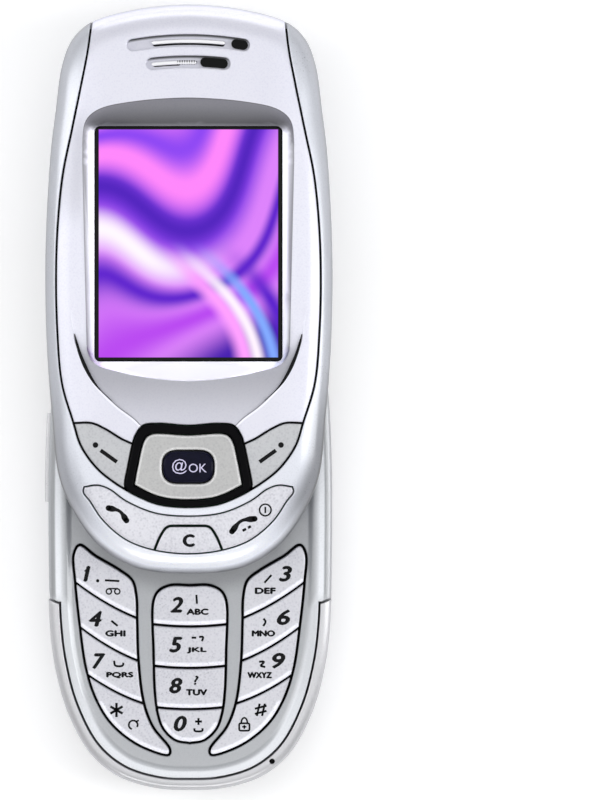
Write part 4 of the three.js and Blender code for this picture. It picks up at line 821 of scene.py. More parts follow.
def rim_painted_highlight(loops, rim, within, width):
    """Painted highlight: one share of the colour near the loops and another away from them."""
    def painted_light(x, y, z):
        near = smooth(distance_to(np.column_stack([x, y]), loops), width * 0.6, width)
        return rim + (within - rim) * near
    return painted_light


front_rings = [slider.ring(inset) for inset in edge_insets(SLIDER_FRONT_EDGE[0], 12)]
reveal_rings = [
    polar_loop(window_loop, WINDOW_MIDDLE) * share + polar_loop(arch_loop, WINDOW_MIDDLE) * (1 - share)
    for share in (0.04, 0.15, 0.35, 0.6, 0.85)
]
bowl_rings = rows(bowl_loop, -0.45, -0.3, -0.14, 0, CHIN_LIP / 2, CHIN_LIP)
centre_cut, band_cut = grow(centre_loop, SEAM / 2), grow(band_loop, BAND_GAP / 2)
place("frame_shell", sheet_mesh(
    slider_front, [slider.loop], [centre_cut, band_cut], front_rings, [centre_cut, band_cut], 0.16,
    foot=thin, fill=1.2,
), "frame_paint", "slider_frame", painted_light=frame_painted_light)
fascia_keep = grow(fascia_loop, -SEAM / 2)
place("fascia_shell", sheet_mesh(
    fascia_level, [slider.loop, fascia_keep], [window_loop, *slots.values()],
    [*front_rings[1:], arch_loop, grow(arch_loop, 0.07), *bowl_rings, *reveal_rings],
    soft=[*slots.values(), fascia_keep], radius=0.2, foot=thin, fill=0.9,
), "fascia_paint", "slider_fascia", painted_light=fascia_painted_light)

# Black ribbons sunk in the seams between the frame and the fascia, as painted shade in the gaps
SEAM_OVERLAP, SEAM_SUNK, SEAM_THICK, SEAM_END = 0.16, 0.55, 0.5, 0.6
seam_lines = [chain(softkey_low, centre_side), softkey_top, pad_side]
seam_lines += [mirror(line) for line in seam_lines]
seam_lines = [line[inside(line, slider.ring(SEAM_END))] for line in seam_lines]
place("seam_shade", joined([
    ribbon(line, SEAM + SEAM_OVERLAP, slider_front(*line.T) - SEAM_SUNK, SEAM_THICK) for line in seam_lines
]), "black_matt", "slider_frame", False)

# Keys on the display half, each with the level of its foot and, where it is flat, of its top
SOFTKEY_FOOT, PAD_FOOT, PAD_RING_FOOT, OK_FOOT = 18.65, 19.0, 18.75, 19.45
PAD_RING_TOP, OK_TOP = 22.25, 22.35
for side, name in ((1, "right"), (-1, "left")):
    loop = grow(softkey_loop if side > 0 else mirror(softkey_loop), -SEAM / 2)
    place(f"softkey_{name}_cap", sheet_mesh(
        slider_front, [loop], rings=front_rings[8:], radius=0.2, foot=SOFTKEY_FOOT,
    ), "softkey_silver", f"softkey_{name}")
place("pad_ring", sheet_mesh(
    PAD_RING_TOP, [grow(pad_loop, -SEAM / 4)], [pad_inner], radius=0.25, foot=PAD_RING_FOOT,
), "black_plastic", "pad_frame")
pad_edge, ok_edge = grow(pad_inner, -KEY_GAP / 2), grow(ok_loop, KEY_GAP / 2)
pad_rings = [ring for inset in (0.3, 0.5) for ring in (grow(pad_edge, -inset), grow(ok_edge, inset))]
place("pad_cap", sheet_mesh(
    SLIDER_TOP, [pad_edge], [ok_edge], rings=pad_rings, radius=0.25, foot=PAD_FOOT,
), "pad_silver", "navigation_pad", painted_light=rim_painted_highlight([pad_edge, ok_edge], 1.18, 1.0, 0.45))
# The OK button's top falls with the square of the distance from its middle, faster along Y
place("ok_cap", sheet_mesh(
    lambda x, y: OK_TOP - 0.012 * (x**2 + 1.6 * (y - OK_Y) ** 2),
    [ok_loop], rings=rows(ok_loop, 1), radius=0.35, foot=OK_FOOT,
), "navy_gloss", "ok_button")
band_keep = grow(band_loop, -BAND_GAP / 2)
place("call_end_cap", sheet_mesh(
    slider_front, [band_keep], [grow(clear_loop, KEY_GAP / 2)], front_rings, radius=0.18, foot=thin,
), "band_silver", "call_end_rocker")
place("clear_cap", sheet_mesh(
    slider_front, [band_keep, grow(clear_loop, -KEY_GAP / 2)], rings=front_rings, radius=0.18, foot=thin,
), "band_silver", "clear_key")

# Earpiece: the floor of each slot, its open end and its bar. Ends are along X, levels are above the table.
SLOT_FLOOR, SLOT_FOOT, HOLE_TOP, BAR_TOP, BAR_FOOT, BAR_HEIGHT = 21.15, 20.5, 21.75, 21.62, 20.8, 0.66
SHADE_TOP, SHADE_FOOT = 21.3, 21.0
HOLE_ENDS = {"upper": (7.6, 8.75), "lower": (2.65, 5.55)}
BAR_ENDS = {"upper": (-5.55, 5.55), "lower": (-5.55, 1.05)}
SHADE_STRIPS = [(-5.3, 5.4, 75.12, 0.8), (-5.3, -1.6, 71.8, 0.7)]
CREASE = [(18.1, 28.6), (17.3, 25.6), (15.8, 22.2), (14.3, 20.0), (12.2, 18.0)]
CREASE_WIDTHS = [0, 0.15, 0.4, 0.62, 0.8, 1], [0.08, 0.4, 0.58, 0.4, 0.14, 0.08]
CREASE_PROUD, CREASE_THICK = 0.03, 0.6


def slot_tone(y_middle):
    """The slot's floor lies in shade along its upper edge."""
    def painted_light(x, y, z):
        return 0.94 - 0.74 * smooth(y - (y_middle - SLOT_SAG * (x / SLOT_REACH) ** 2), 0.45, 0.95)
    return painted_light


for name, loop in slots.items():
    y = SLOT_Y[name]
    place(f"earpiece_floor_{name}", sheet_mesh(
        SLOT_FLOOR, [grow(loop, 0.35)], rings=rows(loop, 0, 0.15, 0.3, 0.5), soft=[], foot=SLOT_FOOT,
    ), "fascia_paint", "slider_fascia", False, painted_light=slot_tone(y))
    # Each slot's open end is a black strip: painted shade for the hole behind it.
    place(f"earpiece_hole_{name}", sheet_mesh(
        HOLE_TOP, [arch_strip(*HOLE_ENDS[name], y, 1.5)], soft=[], foot=SLOT_FLOOR - 0.05,
    ), "black_matt", "slider_fascia", False)
    bar = arch_strip(*BAR_ENDS[name], y - 0.08, BAR_HEIGHT)
    place(f"earpiece_{name}_bar", sheet_mesh(
        BAR_TOP, [bar], rings=rows(bar, 0.2), soft=[bar], radius=0.16, foot=BAR_FOOT,
    ), "bar_bright" if name == "upper" else "bar_mesh", f"earpiece_bar_{name}")
place("earpiece_shade", joined([
    sheet_mesh(SHADE_TOP, [arch_strip(*strip)], soft=[], foot=SHADE_FOOT) for strip in SHADE_STRIPS
]), "black_matt", "slider_fascia", False)
# A black strip along each side of the dished chin: painted shade for the groove there.
for side, name in ((1, "right"), (-1, "left")):
    crease = spline([(side * x, y) for x, y in CREASE])
    width = np.interp(np.linspace(0, 1, len(crease)), *CREASE_WIDTHS)
    place(f"chin_groove_shade_{name}", ribbon(
        crease, width, slider_front(*crease.T) + CREASE_PROUD, CREASE_THICK,
    ), "ink_black", "slider_fascia", False)

# Front of the keypad half
RIM_WIDTH, RAIL_STEP_LOW, RAIL_STEP_HIGH = 1.9, -0.325, -0.29
KEY_TOP, KEY_FOOT, KEY_EDGE, KEY_FALL = 12.15, 10.6, 0.95, 0.16
WEB_TOP, WEB_FOOT, MIC_TOP, MIC_FOOT = 10.0, 9.7, 11.3, 11.0
VOLUME_Y, VOLUME_HALF, WALL_TOP, WALL_LOW, WALL_STEP = 8.8, 7.5, 10.9, 7.35, 7.9

base_rings = [
    base.ring(inset) for inset in [*edge_insets(BASE_FRONT_EDGE[0], 8), 0.35, 0.75, 2.0, 2.5]
]
tray_rings = [base.ring(inset) for inset in (3, 3.15, 3.35, 3.5, 3.65, 3.85, 4)]


def right_part(loop, held):
    """The right part of a loop where held is true, from its low end up."""
    part = loop[(loop[:, 0] >= -TINY) & held]
    return part[np.argsort(part[:, 1])]


rim_loop = base.ring(RIM_WIDTH)
front_loop = both_sides(np.vstack([
    right_part(rim_loop, rim_loop[:, 1] < RAIL_STEP_LOW * BASE_HALF), on_base(STEP_RIGHT),
    right_part(base.loop, base.loop[:, 1] > RAIL_STEP_HIGH * BASE_HALF),
]))


def bowed(ends, lift, bow=0.5):
    """A divider between two keys: a parabola from end to end that dips by the bow, raised by the lift."""
    (x0, y0), (x1, y1) = ends
    return lambda x: (
        y0 + (y1 - y0) * (x - x0) / (x1 - x0) - bow * (1 - ((2 * x - x0 - x1) / (x1 - x0)) ** 2) + lift)


def between(loop, low, high):
    """The part of a loop between two lines, closed along each line."""
    for line, sign in ((low, 1), (high, -1)):
        if line is None:
            continue
        held = sign * (loop[:, 1] - line(loop[:, 0])) > 0
        first = int(np.argmax(held & ~np.roll(held, 1)))
        loop, held = np.roll(loop, -first, axis=0), np.roll(held, -first)
        run = loop[held]
        x = np.linspace(run[-1, 0], run[0, 0], 16)
        loop = np.vstack([run, np.column_stack([x, line(x)])])
    return loop


def key_level(loop):
    """A key's top: flat, and bent down by a quarter ellipse along its edge near the phone's bottom end, where
    a painted highlight brightens it.
    """
    slope = np.roll(loop, -1, axis=0) - np.roll(loop, 1, axis=0)
    facing = -slope[:, 0] / np.linalg.norm(slope, axis=1) < -0.45
    start = int(np.argmax(facing & ~np.roll(facing, 1)))
    low_edge = np.roll(loop, -start, axis=0)[np.roll(facing, -start)]

    def gap(x, y):
        return distance_to(np.column_stack([x, y]), [low_edge], False)

    def painted_light(x, y, z):
        return 1.18 - 0.2 * smooth(gap(x, y), 0.45, 0.8)

    return lambda x, y: KEY_TOP - edge_drop(gap(x, y), KEY_EDGE, KEY_FALL), painted_light


side_column = even(spline(on_base(SIDE_COLUMN), True), 260)
middle_column = even(both_sides(spline(on_base(MIDDLE_COLUMN))), 200)
columns = [
    (("1", "4", "7", "star"), mirror(side_column), SIDE_DIVIDERS, -1),
    (("2", "5", "8", "0"), middle_column, MIDDLE_DIVIDERS, 1),
    (("3", "6", "9", "hash"), side_column, SIDE_DIVIDERS, 1),
]
for names, column, dividers, side in columns:
    ends = [sorted((on_base(shares) * (side, 1)).tolist()) for shares in dividers]
    lows = [*(bowed(pair, KEY_GAP / 2) for pair in ends), None]
    highs = [None, *(bowed(pair, -KEY_GAP / 2) for pair in ends)]
    for name, low, high in zip(names, lows, highs):
        loop = even(between(grow(column, -KEY_GAP / 2), low, high), 220)
        key_top, key_painted_highlight = key_level(loop)
        place(f"key_{name}_cap", sheet_mesh(
            key_top, [loop], rings=rows(loop, 0.3, 0.45, 0.6, 0.8, 1.0), radius=0.2, foot=KEY_FOOT,
        ), "key_silver", f"key_{name}", painted_light=key_painted_highlight)

openings = [grow(column, KEY_GAP / 2) for _, column, _, _ in columns]
# A black sheet under the gaps round the key columns, as painted shade in the gaps.
place("key_gap_shade", joined([
    sheet_mesh(WEB_TOP, [grow(column, 0.7)], soft=[], foot=WEB_FOOT) for _, column, _, _ in columns
]), "black_matt", "key_mat", False)
front_keep = grow(front_loop, -SEAM / 2)
volume_room = rectangle(-30, -15, VOLUME_Y - VOLUME_HALF, VOLUME_Y + VOLUME_HALF)


def housing_painted_light(x, y, z):
    """Painted light and shade: a painted highlight band along the rim, a grey tray, and a painted shadow
    darkest near the display half.
    """
    inset = base.inset(x, y)
    below = 1.1 * smooth(-y, 13, 16)
    near_half = np.hypot(x / 14, (y + 4) / 7.5)
    shade = 0.85 - 0.04 * smooth(y, -32, -6) - 0.15 * (1 - smooth(near_half, 0.9, 1.4))
    rail = 0.9 - 0.16 * smooth(inset, 0.45, 0.75) + 0.4 * smooth(inset, 1.1, 1.4)
    rim = rail + (1.0 + 0.1 * smooth(-y, 22, 40) - rail) * smooth(-y, 13, 15)
    return rim + (shade - rim) * smooth(inset, 1.9 + below, 3.0 + below)


wall_line = base.ring(BASE_FRONT_EDGE[0])
place("keypad_housing", joined([
    sheet_mesh(
        base_front, [base.loop, front_keep], openings, [*base_rings, *tray_rings, base.ring(6), base.ring(9)],
        soft=[*openings, front_keep], radius=0.14, foot=lambda level: np.minimum(level - 0.02, WALL_TOP)),
    sheet_mesh(WALL_TOP, [base.loop, front_keep], [wall_line, volume_room], soft=[], foot=WALL_LOW),
    sheet_mesh(WALL_STEP, [base.loop, front_keep, volume_room], [wall_line], soft=[], foot=WALL_LOW),
]), "housing_paint", "base_front_housing", painted_light=housing_painted_light)
place("microphone_shade", sheet_mesh(
    MIC_TOP, [circle(*on_base(MIC_SHARE), 0.6, 24)], soft=[], foot=MIC_FOOT,
), "black_matt", "base_rear_housing", False)

# Side key: a bar with round ends that stands proud of the wall
PROUD, BAR_HALF, BAR_INNER, BAR_OUTER, VOLUME_TOP, VOLUME_FOOT = 0.45, 7.2, -20.7, -24, 10.6, 8.2
proud = base.loop * (1 + PROUD / HALF_WIDTH, 1 + PROUD / BASE_HALF)
bar = rounded(rectangle(BAR_OUTER, BAR_INNER, VOLUME_Y - BAR_HALF, VOLUME_Y + BAR_HALF), 0.9, 6)
place("volume_cap", sheet_mesh(
    VOLUME_TOP, [proud, bar], soft=[proud], radius=0.3, foot=VOLUME_FOOT,
), "side_key_paint", "volume_key")

# Middle case, seen from the front as the low rim and from the back beside the covers
CASE_LOW, CASE_STEP, BELT_WIDTH, BEYOND_X, BEYOND_Y = 5.95, 7.1, 1.6, 1.1 * HALF_WIDTH, -47
CASE_BACK_FOOT, CASE_BACK_TOP = 7.0, 5.5
pack_loop = both_sides(np.vstack([[(BEYOND_X, BEYOND_Y)], spline(on_base(PACK_SEAM), per=8)]))
cover_loop = both_sides(spline(on_base(COVER_SIDE), per=6))
back_rings = [base.ring(inset) for inset in edge_insets(BASE_BACK_EDGE[0], 14)]
hole_loop = circle(*on_base(MIC_SHARE), 0.45, 24)
front_cut = grow(front_loop, SEAM / 2)


def case_painted_light(x, y, z):
    """Painted light and shade on the back: a painted highlight band along the upper cover's side and painted
    shade towards the edge.
    """
    inset = base.inset(x, y)
    back = 0.72 + 0.16 * smooth(inset, 1.0, 3.5) + 0.3 * smooth(inset, 4.4, 5.2)
    return np.where(z < CASE_BACK_TOP, back, 1.0)


place("middle_case", joined([
    sheet_mesh(base_front, [base.loop], [front_cut, hole_loop], base_rings, soft=[front_cut, hole_loop],
               radius=0.12, foot=CASE_LOW),
    sheet_mesh(CASE_STEP, [base.loop], [base.ring(BELT_WIDTH)], soft=[], foot=CASE_LOW),
    sheet_mesh(base_back, [base.loop], [grow(pack_loop, SEAM / 2), grow(cover_loop, SEAM / 2)], back_rings,
               soft=[], foot=lambda level: np.maximum(level + 1, CASE_BACK_FOOT), up=-1),
]), "case_paint", "base_rear_housing", painted_light=case_painted_light)

# Back of the keypad half: the thumb recess and the latch in its ring
LATCH_Y = 21.285
SCOOP_Y, SCOOP_RADIUS, SCOOP_DEPTH, SCOOP_RUN, SCOOP_LIP = 21.585, 15.895, 0.9, 30.0, 0.12
RING_OUTER, RING_INNER, RING_LOW, RING_FOOT, RING_GAP = 6.7, 6.0, 0.02, 1.0, 0.14
GRIP_OFFSET, GRIP_SUNK, GRIP_HALF_WIDTH, GRIP_HALF_HEIGHT, GRIP_CORNER = 2.3, 0.3, 2.3, 0.6, 0.35
BUTTON_GAP, BUTTON_LOW, BUTTON_FOOT, BUTTON_SPLIT = 0.16, 0.37, 2.9, 0.3
COVER_WALL, COVER_FOOT = 1.2, 5.8
HALF_SIDE = 8


def grip_loop(side):
    """The rounded slot above or below the latch's middle."""
    middle = LATCH_Y + side * GRIP_OFFSET
    low, high = middle - GRIP_HALF_HEIGHT, middle + GRIP_HALF_HEIGHT
    return rounded(rectangle(-GRIP_HALF_WIDTH, GRIP_HALF_WIDTH, low, high), GRIP_CORNER, 3)


def in_grip(x, y, side):
    """1 in the slot that a finger nail holds, and 0 outside it."""
    return smooth(depth_in(grip_loop(side), x, y), 0, SCOOP_LIP)


def in_scoop(x, y):
    """1 inside the thumb recess's disc, falling to 0 over its lip."""
    return smooth(SCOOP_RADIUS - np.hypot(x, y - SCOOP_Y), 0, SCOOP_LIP)


def scooped(x, y):
    """The back with its thumb recess: inside a disc the floor falls off towards the phone's bottom end."""
    floor = SCOOP_DEPTH * (1 - (y - SCOOP_Y + SCOOP_RADIUS) / SCOOP_RUN)
    return np.maximum(base_back(x, y), floor * in_scoop(x, y)) + GRIP_SUNK * in_grip(x, y, -1)


def pack_painted_light(x, y, z):
    """Painted light and shade: painted shade along the sides and the low end, a painted highlight band inside
    that, and painted shade in the thumb recess, its grip slot and round the latch's ring.
    """
    low_end = smooth(-y, 26, 42)
    share = base.inset(x, y) / (3.5 + 4.3 * low_end)
    edge = 0.76 - 0.25 * low_end
    painted_light = edge + (1.12 - edge) * smooth(share, 0.7, 1.1)
    painted_light = painted_light - 0.16 * smooth(share, 1.55, 2.0) * (1 - smooth(-y, 28.4, 31.4))
    recess_shade = 0.59 - 0.05 * smooth(17 - y, 0, 10) + 0.09 * smooth(x, -14, 14) - 0.25 * in_grip(x, y, -1)
    recess_shade = recess_shade * (0.78 + 0.22 * smooth(np.hypot(x, y - LATCH_Y), RING_INNER - 0.1, RING_OUTER))
    return painted_light + (recess_shade - painted_light) * in_scoop(x, y)


def cover_painted_light(x, y, z):
    """Painted light and shade: a painted highlight under its upper edge, and painted shade towards the
    battery and on the upper edge itself.
    """
    return 0.74 + 0.1 * smooth(y, 24, 33) + 0.34 * smooth(y, 33, 37.5) - 0.46 * smooth(y, 41, 44)


def cover_foot(level):
    """The inner side of a back cover: one wall over it, up to the covers' foot."""
    return np.minimum(level + COVER_WALL, COVER_FOOT)


scoop_rings = [circle(0, SCOOP_Y, SCOOP_RADIUS - lip, 200) for lip in (0, SCOOP_LIP / 2, SCOOP_LIP)]
grip_insets = (0, SCOOP_LIP / 2, SCOOP_LIP)
ring_outer, ring_inner = circle(0, LATCH_Y, RING_OUTER, 120), circle(0, LATCH_Y, RING_INNER, 120)
place("battery_shell", sheet_mesh(
    scooped, [base.loop, grow(pack_loop, -SEAM / 2)], [],
    [*back_rings, *scoop_rings, *rows(grip_loop(-1), *grip_insets), *map(base.ring, (2.2, 3.4, 8))],
    soft=[], foot=cover_foot, up=-1, fill=0.9,
), "pack_paint", "battery_pack", painted_light=pack_painted_light)
place("upper_cover", sheet_mesh(
    scooped, [base.loop, grow(cover_loop, -SEAM / 2)], [ring_inner], [*back_rings, *scoop_rings],
    soft=[], foot=cover_foot, up=-1, fill=1.6,
), "case_paint", "upper_back_cover", painted_light=cover_painted_light)
below = rectangle(-HALF_SIDE, HALF_SIDE, LATCH_Y - HALF_SIDE, LATCH_Y - RING_GAP)
above = rectangle(-HALF_SIDE, HALF_SIDE, LATCH_Y + RING_GAP, LATCH_Y + HALF_SIDE)
for name, half, node in (("lower", below, "battery_pack"), ("upper", above, "upper_back_cover")):
    place(f"latch_ring_{name}", sheet_mesh(
        RING_LOW, [ring_outer, half], [ring_inner],
        soft=[ring_outer, ring_inner], radius=0.2, foot=RING_FOOT, up=-1,
    ), "bar_bright", node, False)
button_face = circle(0, LATCH_Y, RING_INNER - BUTTON_GAP, 96)
button_half = rectangle(-HALF_SIDE, HALF_SIDE, LATCH_Y + BUTTON_SPLIT, LATCH_Y + HALF_SIDE)
# The latch face is darker in its grip slot: painted shade.
place("latch_face", sheet_mesh(
    lambda x, y: BUTTON_LOW + GRIP_SUNK * in_grip(x, y, 1), [button_face, button_half],
    rings=rows(grip_loop(1), *grip_insets),
    soft=[button_face, button_half], radius=0.2, foot=BUTTON_FOOT, up=-1,
), "latch_grey", "latch_button", painted_light=lambda x, y, z: 1.0 - 0.35 * in_grip(x, y, 1))

# Back of the display half
CAMERA_CORNER, RECESS_CORNER = 1.1, 0.4
PLUG_X, PLUG_Y, PLUG_ROOM, PLUG_RADIUS, PLUG_LOW, PLUG_FOOT = 14.7, 75.3, 1.45, 1.33, 12.94, 13.65
CAMERA_RIM_DEPTH, CAMERA_RIM_RUN, NOTCH_DEPTH, NOTCH_LIP = 0.25, 1.2, 0.8, 0.1
REAR_FOOT, RECESS_FLOOR, RECESS_FOOT = 16.57, 15.0, 15.9
FOLD_LOW, FOLD_FOOT, FOLD_WIDTH, FOLD_ENDS, FOLD_LEFTS = 13.7, 14.95, 0.85, (2.4, 58.2), (-12.77, 11.92)
STRIP_WIDTH, STRIP_ENDS, STRIP_LEFTS = 0.5, (3, 58.4), (-13.3, 12.8)
RAIL_LOW, RAIL_WIDTH, RAIL_ENDS, RAIL_LEFTS = 13.1, 0.22, (3, 57.7), (-14.88, -13.54, 13.32, 14.66)
CHANNEL_TOP, CAMERA_GAP_LOW, CAMERA_GAP_FOOT = [(-13.0, 58.6), (13.0, 58.6)], 14.0, 15.5
camera_loop = rounded(both_sides(on_slider(CAMERA_PLATE)), CAMERA_CORNER)
rim_outline = even(spline(both_sides(on_slider(CAMERA_RIM)), True), 200)
recess_loop = rounded(both_sides(on_slider(RECESS)), RECESS_CORNER, 3)
notches = [on_slider(NOTCH), mirror(on_slider(NOTCH))]
plug_rooms = [circle(side * PLUG_X, PLUG_Y, PLUG_ROOM, 40) for side in (-1, 1)]


def rear_level(x, y):
    """The display half's back: rounded edge, soft rim round the camera plate, a sunk strip at each side."""
    level = slider_back(x, y) - CAMERA_RIM_DEPTH * smooth(depth_in(rim_outline, x, y), 0, CAMERA_RIM_RUN)
    for notch in notches:
        level = np.maximum(level, SLIDER_BACK + NOTCH_DEPTH * smooth(depth_in(notch, x, y), 0, NOTCH_LIP))
    return level


def rear_painted_light(x, y, z):
    """Painted light and shade: grey, with the rim round the camera plate in a dark painted shade band and a
    paler painted highlight inside it, and the sunk strips at the sides in painted shade.
    """
    rim = depth_in(rim_outline, x, y)
    dark = smooth(rim, 0.0, 0.3) * (1 - smooth(rim, 0.9, 1.4)) * (1 - 0.7 * smooth(y, 61.5, 67))
    painted_light = 0.92 - 0.4 * dark + 0.24 * smooth(rim, 0.9, 1.4)
    for notch in notches:
        painted_light = painted_light - 0.3 * inside(np.column_stack([x, y]), notch)
    return painted_light


def bars_along(low, foot, width, ends, lefts):
    """Straight bars along the phone, each from its left edge on."""
    return [sheet_mesh(low, [rectangle(x, x + width, *ends)], soft=[], foot=foot, up=-1) for x in lefts]


place("display_back", sheet_mesh(
    rear_level, [slider.loop], [recess_loop, grow(camera_loop, SEAM / 2), *plug_rooms],
    [slider.ring(inset) for inset in edge_insets(SLIDER_BACK_EDGE[0], 8)]
    + rows(rim_outline, 0, 0.3, 0.6, 0.9, CAMERA_RIM_RUN, 1.7)
    + [ring for notch in notches for ring in rows(notch, 0, NOTCH_LIP / 2, NOTCH_LIP)],
    soft=[], foot=REAR_FOOT, up=-1, fill=1.5,
), "frame_paint", "slider_rear_cover", painted_light=rear_painted_light)
place("plate_folds", joined(
    bars_along(FOLD_LOW, FOLD_FOOT, FOLD_WIDTH, FOLD_ENDS, FOLD_LEFTS),
), "bar_bright", "slide_plate", False)
place("recess_floor", sheet_mesh(
    RECESS_FLOOR, [grow(recess_loop, 0.4)], soft=[], foot=RECESS_FOOT, up=-1,
), "recess_grey", "slider_rear_cover", False)
notch_edges = [on_slider([(side * x, y) for x, y in [*NOTCH[2:5], (0.822, -0.3)]]) for side in (-1, 1)]
# Black lines as painted shade in the gaps and along the edges: round the camera plate, along the recess, the
# notches' edges, beside the rails and across the channel's top.
place("back_shade_lines", joined([
    sheet_mesh(CAMERA_GAP_LOW, [grow(camera_loop, 0.4)], soft=[], foot=CAMERA_GAP_FOOT, up=-1),
    ribbon(even(grow(recess_loop, -0.12), 300), 0.36, SLIDER_BACK + 0.04, 0.05, True),
    *[ribbon(spline(edge), 0.3, SLIDER_BACK + 0.02, 0.04) for edge in notch_edges],
    *bars_along(RECESS_FLOOR - 0.04, RECESS_FLOOR + 0.1, STRIP_WIDTH, STRIP_ENDS, STRIP_LEFTS),
    *bars_along(RAIL_LOW - 0.02, RAIL_LOW, RAIL_WIDTH, RAIL_ENDS, RAIL_LEFTS),
    ribbon(CHANNEL_TOP, STRIP_WIDTH, RECESS_FLOOR, 0.04),
]), "black_matt", "slider_rear_cover", False)

# Camera plate: its two wells, the lens in its ring, the flash and the two plugs
LENS, FLASH, MIRROR = (-4.75, 69.6), (-4.75, 76.1), (4.784, 69.55)
LENS_ROOM, FLASH_ROOM, FLASH_ROOM_SQUASH = 3.42, 3.15, 0.48
WELL_RADIUS, WELL_LENGTH, WELL_LOW, WELL_FOOT = 3.72, 4.0, 13.85, 14.0
PLATE_LOW, PLATE_FOOT = 12.82, 13.9
MIRROR_RADIUS, MIRROR_TALL, MIRROR_RISE, MIRROR_LOW, MIRROR_FOOT = 3.55, 1.28, 1.0, 13.03, 13.88
LENS_FOOT, BEZEL_OUTER, BEZEL_INNER, BEZEL_MIDDLE, BEZEL_LOW = 15.8, 3.34, 2.52, 2.95, 12.72
GLASS_RADIUS, GLASS_LOW = 2.49, 12.97
FLASH_FOOT, FLASH_LOW, FLASH_RADIUS, FLASH_SQUASH, FLASH_CROWN = 13.8, 12.75, 3.05, 0.465, 4.6**-0.5
FLASH_OUTER, FLASH_OUTER_SQUASH, FLASH_INNER, FLASH_INNER_SQUASH = 3.1, 0.47, 2.45, 0.42
well_half = np.vstack([
    (0.0, -WELL_RADIUS), circle(0, 0, WELL_RADIUS, 40)[31:],
    circle(0, WELL_LENGTH, WELL_RADIUS, 40)[:10], (0.0, WELL_LENGTH + WELL_RADIUS),
])
mirror_well = even(both_sides(well_half), 120) + MIRROR
lens_room = circle(*LENS, LENS_ROOM, 72)
flash_room = circle(*FLASH, FLASH_ROOM, 72, FLASH_ROOM_SQUASH)
plate_edge = grow(camera_loop, -SEAM / 2)
mirror_middle = MIRROR[0], MIRROR[1] + MIRROR_RISE


def plate_painted_highlight(x, y, z):
    """The plate is pale, with a painted highlight line round its wells and its own edge."""
    near = distance_to(np.column_stack([x, y]), [mirror_well, lens_room, flash_room, plate_edge])
    return 1.12 - 0.16 * smooth(near, 0.3, 0.7)


def squared(x, y, middle, tall=1.0):
    """The square of the distance from a middle, with heights divided by tall."""
    return (x - middle[0]) ** 2 + ((y - middle[1]) / tall) ** 2


def discs(middle, radii, count, squash=1.0):
    """Circles of several radii round one middle."""
    return [circle(*middle, radius, count, squash) for radius in radii]


place("camera_plate_face", sheet_mesh(
    PLATE_LOW, [plate_edge], [mirror_well, lens_room, flash_room], rows(plate_edge, 0.4, 0.7), radius=0.15,
    foot=PLATE_FOOT, up=-1, fill=0.8,
), "plate_paint", "camera_plate", painted_light=plate_painted_highlight)
place("mirror_well", sheet_mesh(
    WELL_LOW, [grow(mirror_well, 0.1)], soft=[], foot=WELL_FOOT, up=-1,
), "black_plastic", "camera_plate", False)
# Mirror, glass and flash bulge as the square of the distance from their middles, and the lens ring's section
# is a parabola with its ridge on the middle radius
place("mirror_dome", sheet_mesh(
    lambda x, y: MIRROR_LOW + 0.055 * squared(x, y, mirror_middle, MIRROR_TALL),
    discs(mirror_middle, [MIRROR_RADIUS], 96, MIRROR_TALL),
    rings=discs(mirror_middle, (0.6, 1.2, 1.8, 2.4, 3.0), 72, MIRROR_TALL), soft=[], foot=MIRROR_FOOT, up=-1,
), "mirror_silver", "portrait_mirror")
place("lens_ring", sheet_mesh(
    lambda x, y: BEZEL_LOW + 1.6 * (np.sqrt(squared(x, y, LENS)) - BEZEL_MIDDLE) ** 2,
    discs(LENS, [BEZEL_OUTER], 96), discs(LENS, [BEZEL_INNER], 96),
    rings=discs(LENS, (2.6, 2.75, BEZEL_MIDDLE, 3.1, 3.25), 96), soft=[], foot=LENS_FOOT, up=-1,
), "chrome", "camera_bezel")
place("lens_glass", sheet_mesh(
    lambda x, y: GLASS_LOW + 0.045 * squared(x, y, LENS), discs(LENS, [GLASS_RADIUS], 96),
    rings=discs(LENS, (0.5, 1.0, 1.5, 2.0), 72), soft=[], foot=LENS_FOOT, up=-1,
), "lens_black", "camera_lens")
place("flash_face", sheet_mesh(
    lambda x, y: FLASH_LOW + 0.06 * squared(x, y, FLASH, FLASH_CROWN),
    discs(FLASH, [FLASH_RADIUS], 96, FLASH_SQUASH),
    rings=discs(FLASH, (0.6, 1.2, 1.8, 2.4), 72, FLASH_SQUASH), soft=[], foot=FLASH_FOOT, up=-1,
), "lamp_clear", "flash_lamp")
place("flash_rim", sheet_mesh(
    BEZEL_LOW, discs(FLASH, [FLASH_OUTER], 96, FLASH_OUTER_SQUASH),
    discs(FLASH, [FLASH_INNER], 96, FLASH_INNER_SQUASH), radius=0.2, foot=FLASH_FOOT, up=-1,
), "chrome", "flash_lamp", False)
for side, name in ((-1, "left"), (1, "right")):
    plug = circle(side * PLUG_X, PLUG_Y, PLUG_RADIUS, 48)
    place(f"plug_{name}_face", sheet_mesh(
        PLUG_LOW, [plug], rings=rows(plug, 0.5), radius=0.25, foot=PLUG_FOOT, up=-1,
    ), "rubber_grey", f"screw_plug_{name}")

